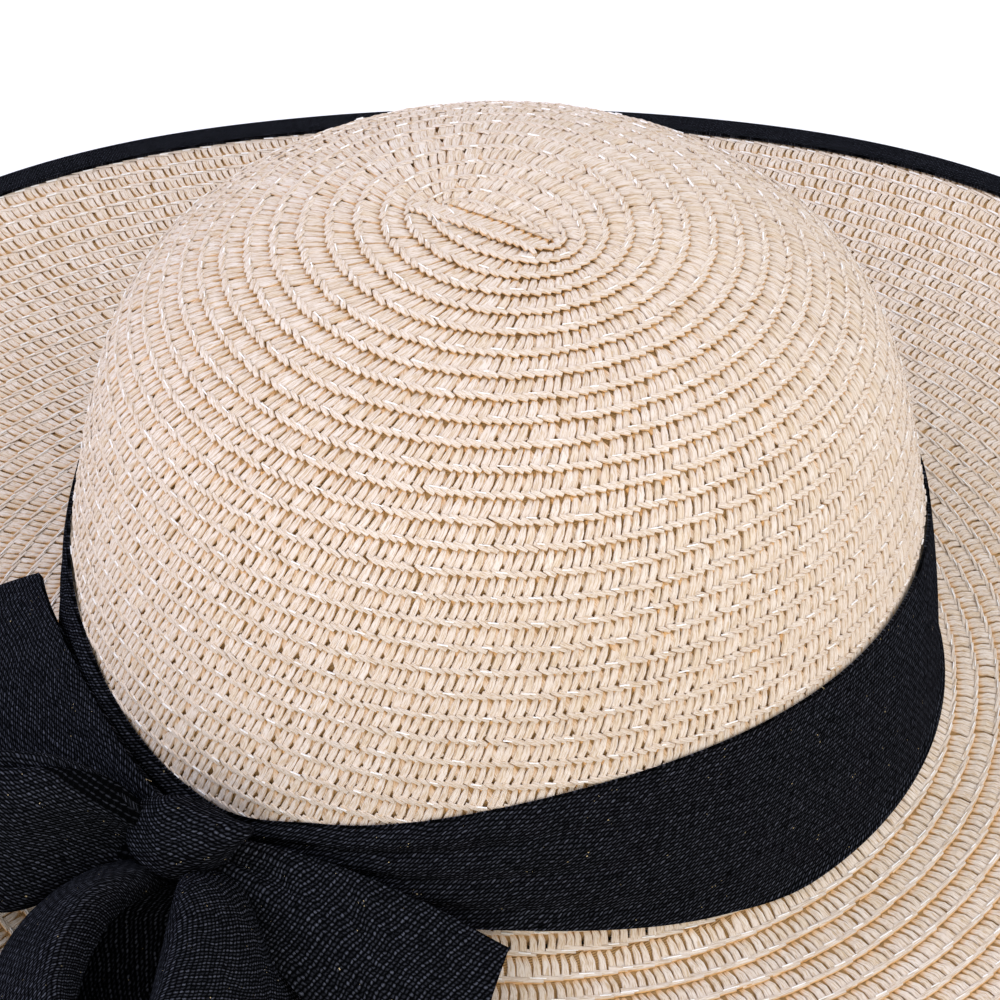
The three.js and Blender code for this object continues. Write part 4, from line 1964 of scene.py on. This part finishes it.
@dataclass
class Studio:
    """Pale floor, soft lights and the camera.

    Attributes:
        camera_place: the camera's place.
        pitch_down: how far it looks down.
        lens: its focal length.
        sensor: width of its sensor.
        floor_half: half the floor's side in metres.
        room_colour: colour of the room's light.
        room_strength: strength of the room's light.
        aim: point that the lights face, in metres.
        soft_boxes: the lights.
    """

    camera_place: Triple = (0.0, -508.23, 453.1)
    pitch_down: float = 38.37
    lens: float = 113.9
    sensor: float = 36.0
    floor_half: float = 3.0
    room_colour: Colour = (0.98, 0.98, 1.06)
    room_strength: float = 0.71
    aim: Triple = (0.0, 0.0, 0.06)
    soft_boxes: tuple[SoftBox, ...] = (
        SoftBox("left_box", (-0.9, -0.2, 0.75), 0.8, 6.5, (0.95, 1.0, 1.32)),
        SoftBox("right_box", (0.9, -0.1, 0.64), 0.9, 5.7, (0.98, 1.0, 1.06)),
        SoftBox("front_box", (0.0, -1.1, 0.52), 1.0, 6.4, (1.03, 1.0, 0.86)),
        SoftBox("back_box", (0.1, 0.7, 1.0), 0.9, 1.8, (1.0, 1.0, 1.06)),
    )

    def build(self) -> None:
        """Builds the floor, the lights and the camera."""
        self.build_floor()
        self.build_lights()
        self.build_camera()

    def build_floor(self) -> None:
        """Builds the floor, a square just under the hat."""
        half = self.floor_half
        corners = [(-half, -half, 0), (half, -half, 0), (half, half, 0), (-half, half, 0)]
        mesh = bpy.data.meshes.new("floor")
        mesh.from_pydata(corners, [], [(0, 1, 2, 3)])
        mesh.materials.append(FloorFinish().material())
        floor = bpy.data.objects.new("floor", mesh)
        bpy.context.scene.collection.objects.link(floor)

    def build_lights(self) -> None:
        """Lights the hat from both sides, the front and the back, within a pale room."""
        scene = bpy.context.scene
        scene.view_settings.view_transform = "Standard"
        scene.world = bpy.data.worlds.new("studio")
        scene.world.use_nodes = True
        room = scene.world.node_tree.nodes["Background"]
        room.inputs["Color"].default_value = (*self.room_colour, 1)
        room.inputs["Strength"].default_value = self.room_strength
        for box in self.soft_boxes:
            box.build(self.aim)

    def build_camera(self) -> None:
        """Sets the camera at the photograph's viewing angle."""
        data = bpy.data.cameras.new("photo_camera")
        data.lens = self.lens
        data.sensor_width = self.sensor
        camera = bpy.data.objects.new("photo_camera", data)
        camera.location = [value * MM for value in self.camera_place]
        camera.rotation_euler = (math.radians(90 - self.pitch_down), 0, 0)
        bpy.context.scene.collection.objects.link(camera)
        bpy.context.scene.camera = camera


def main() -> None:
    """Builds the hat and the studio in order."""
    logging.basicConfig(level=logging.INFO)
    braid = BraidFinish().material()
    wall = WallFinish().material()
    thread = ThreadFinish().material()
    linen = LinenFinish().material()
    tape = LinenFinish("black_tape", pitch=0.45, holes=2.0).material()
    crown_low, crown_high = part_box("crown")
    crown_line = WallLine(CROWN_SLOPES, 0.0, crown_high.z / MM)
    foot_run = crown_line.run_at_level(crown_low.z / MM)
    foot_radius = float(np.interp(foot_run, crown_line.runs, crown_line.radii))
    brim_line = WallLine(BRIM_SLOPES, foot_radius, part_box("brim")[1].z / MM, lifted=True)
    binding = Binding()
    braid_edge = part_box("brim_binding")[1].x / MM - binding.cloth - binding.gap
    edge_run = brim_line.run_at_radius(braid_edge)
    band = HatBand(crown_line, brim_line)
    Crown(crown_line, foot_run, band).build(braid, wall, thread)
    Brim(brim_line, edge_run - binding.width, edge_run, band).build(braid, wall, thread)
    binding.build(tape)
    band.build(linen)
    Bow().build(linen)
    Studio().build()


if __name__ == "__main__":
    main()
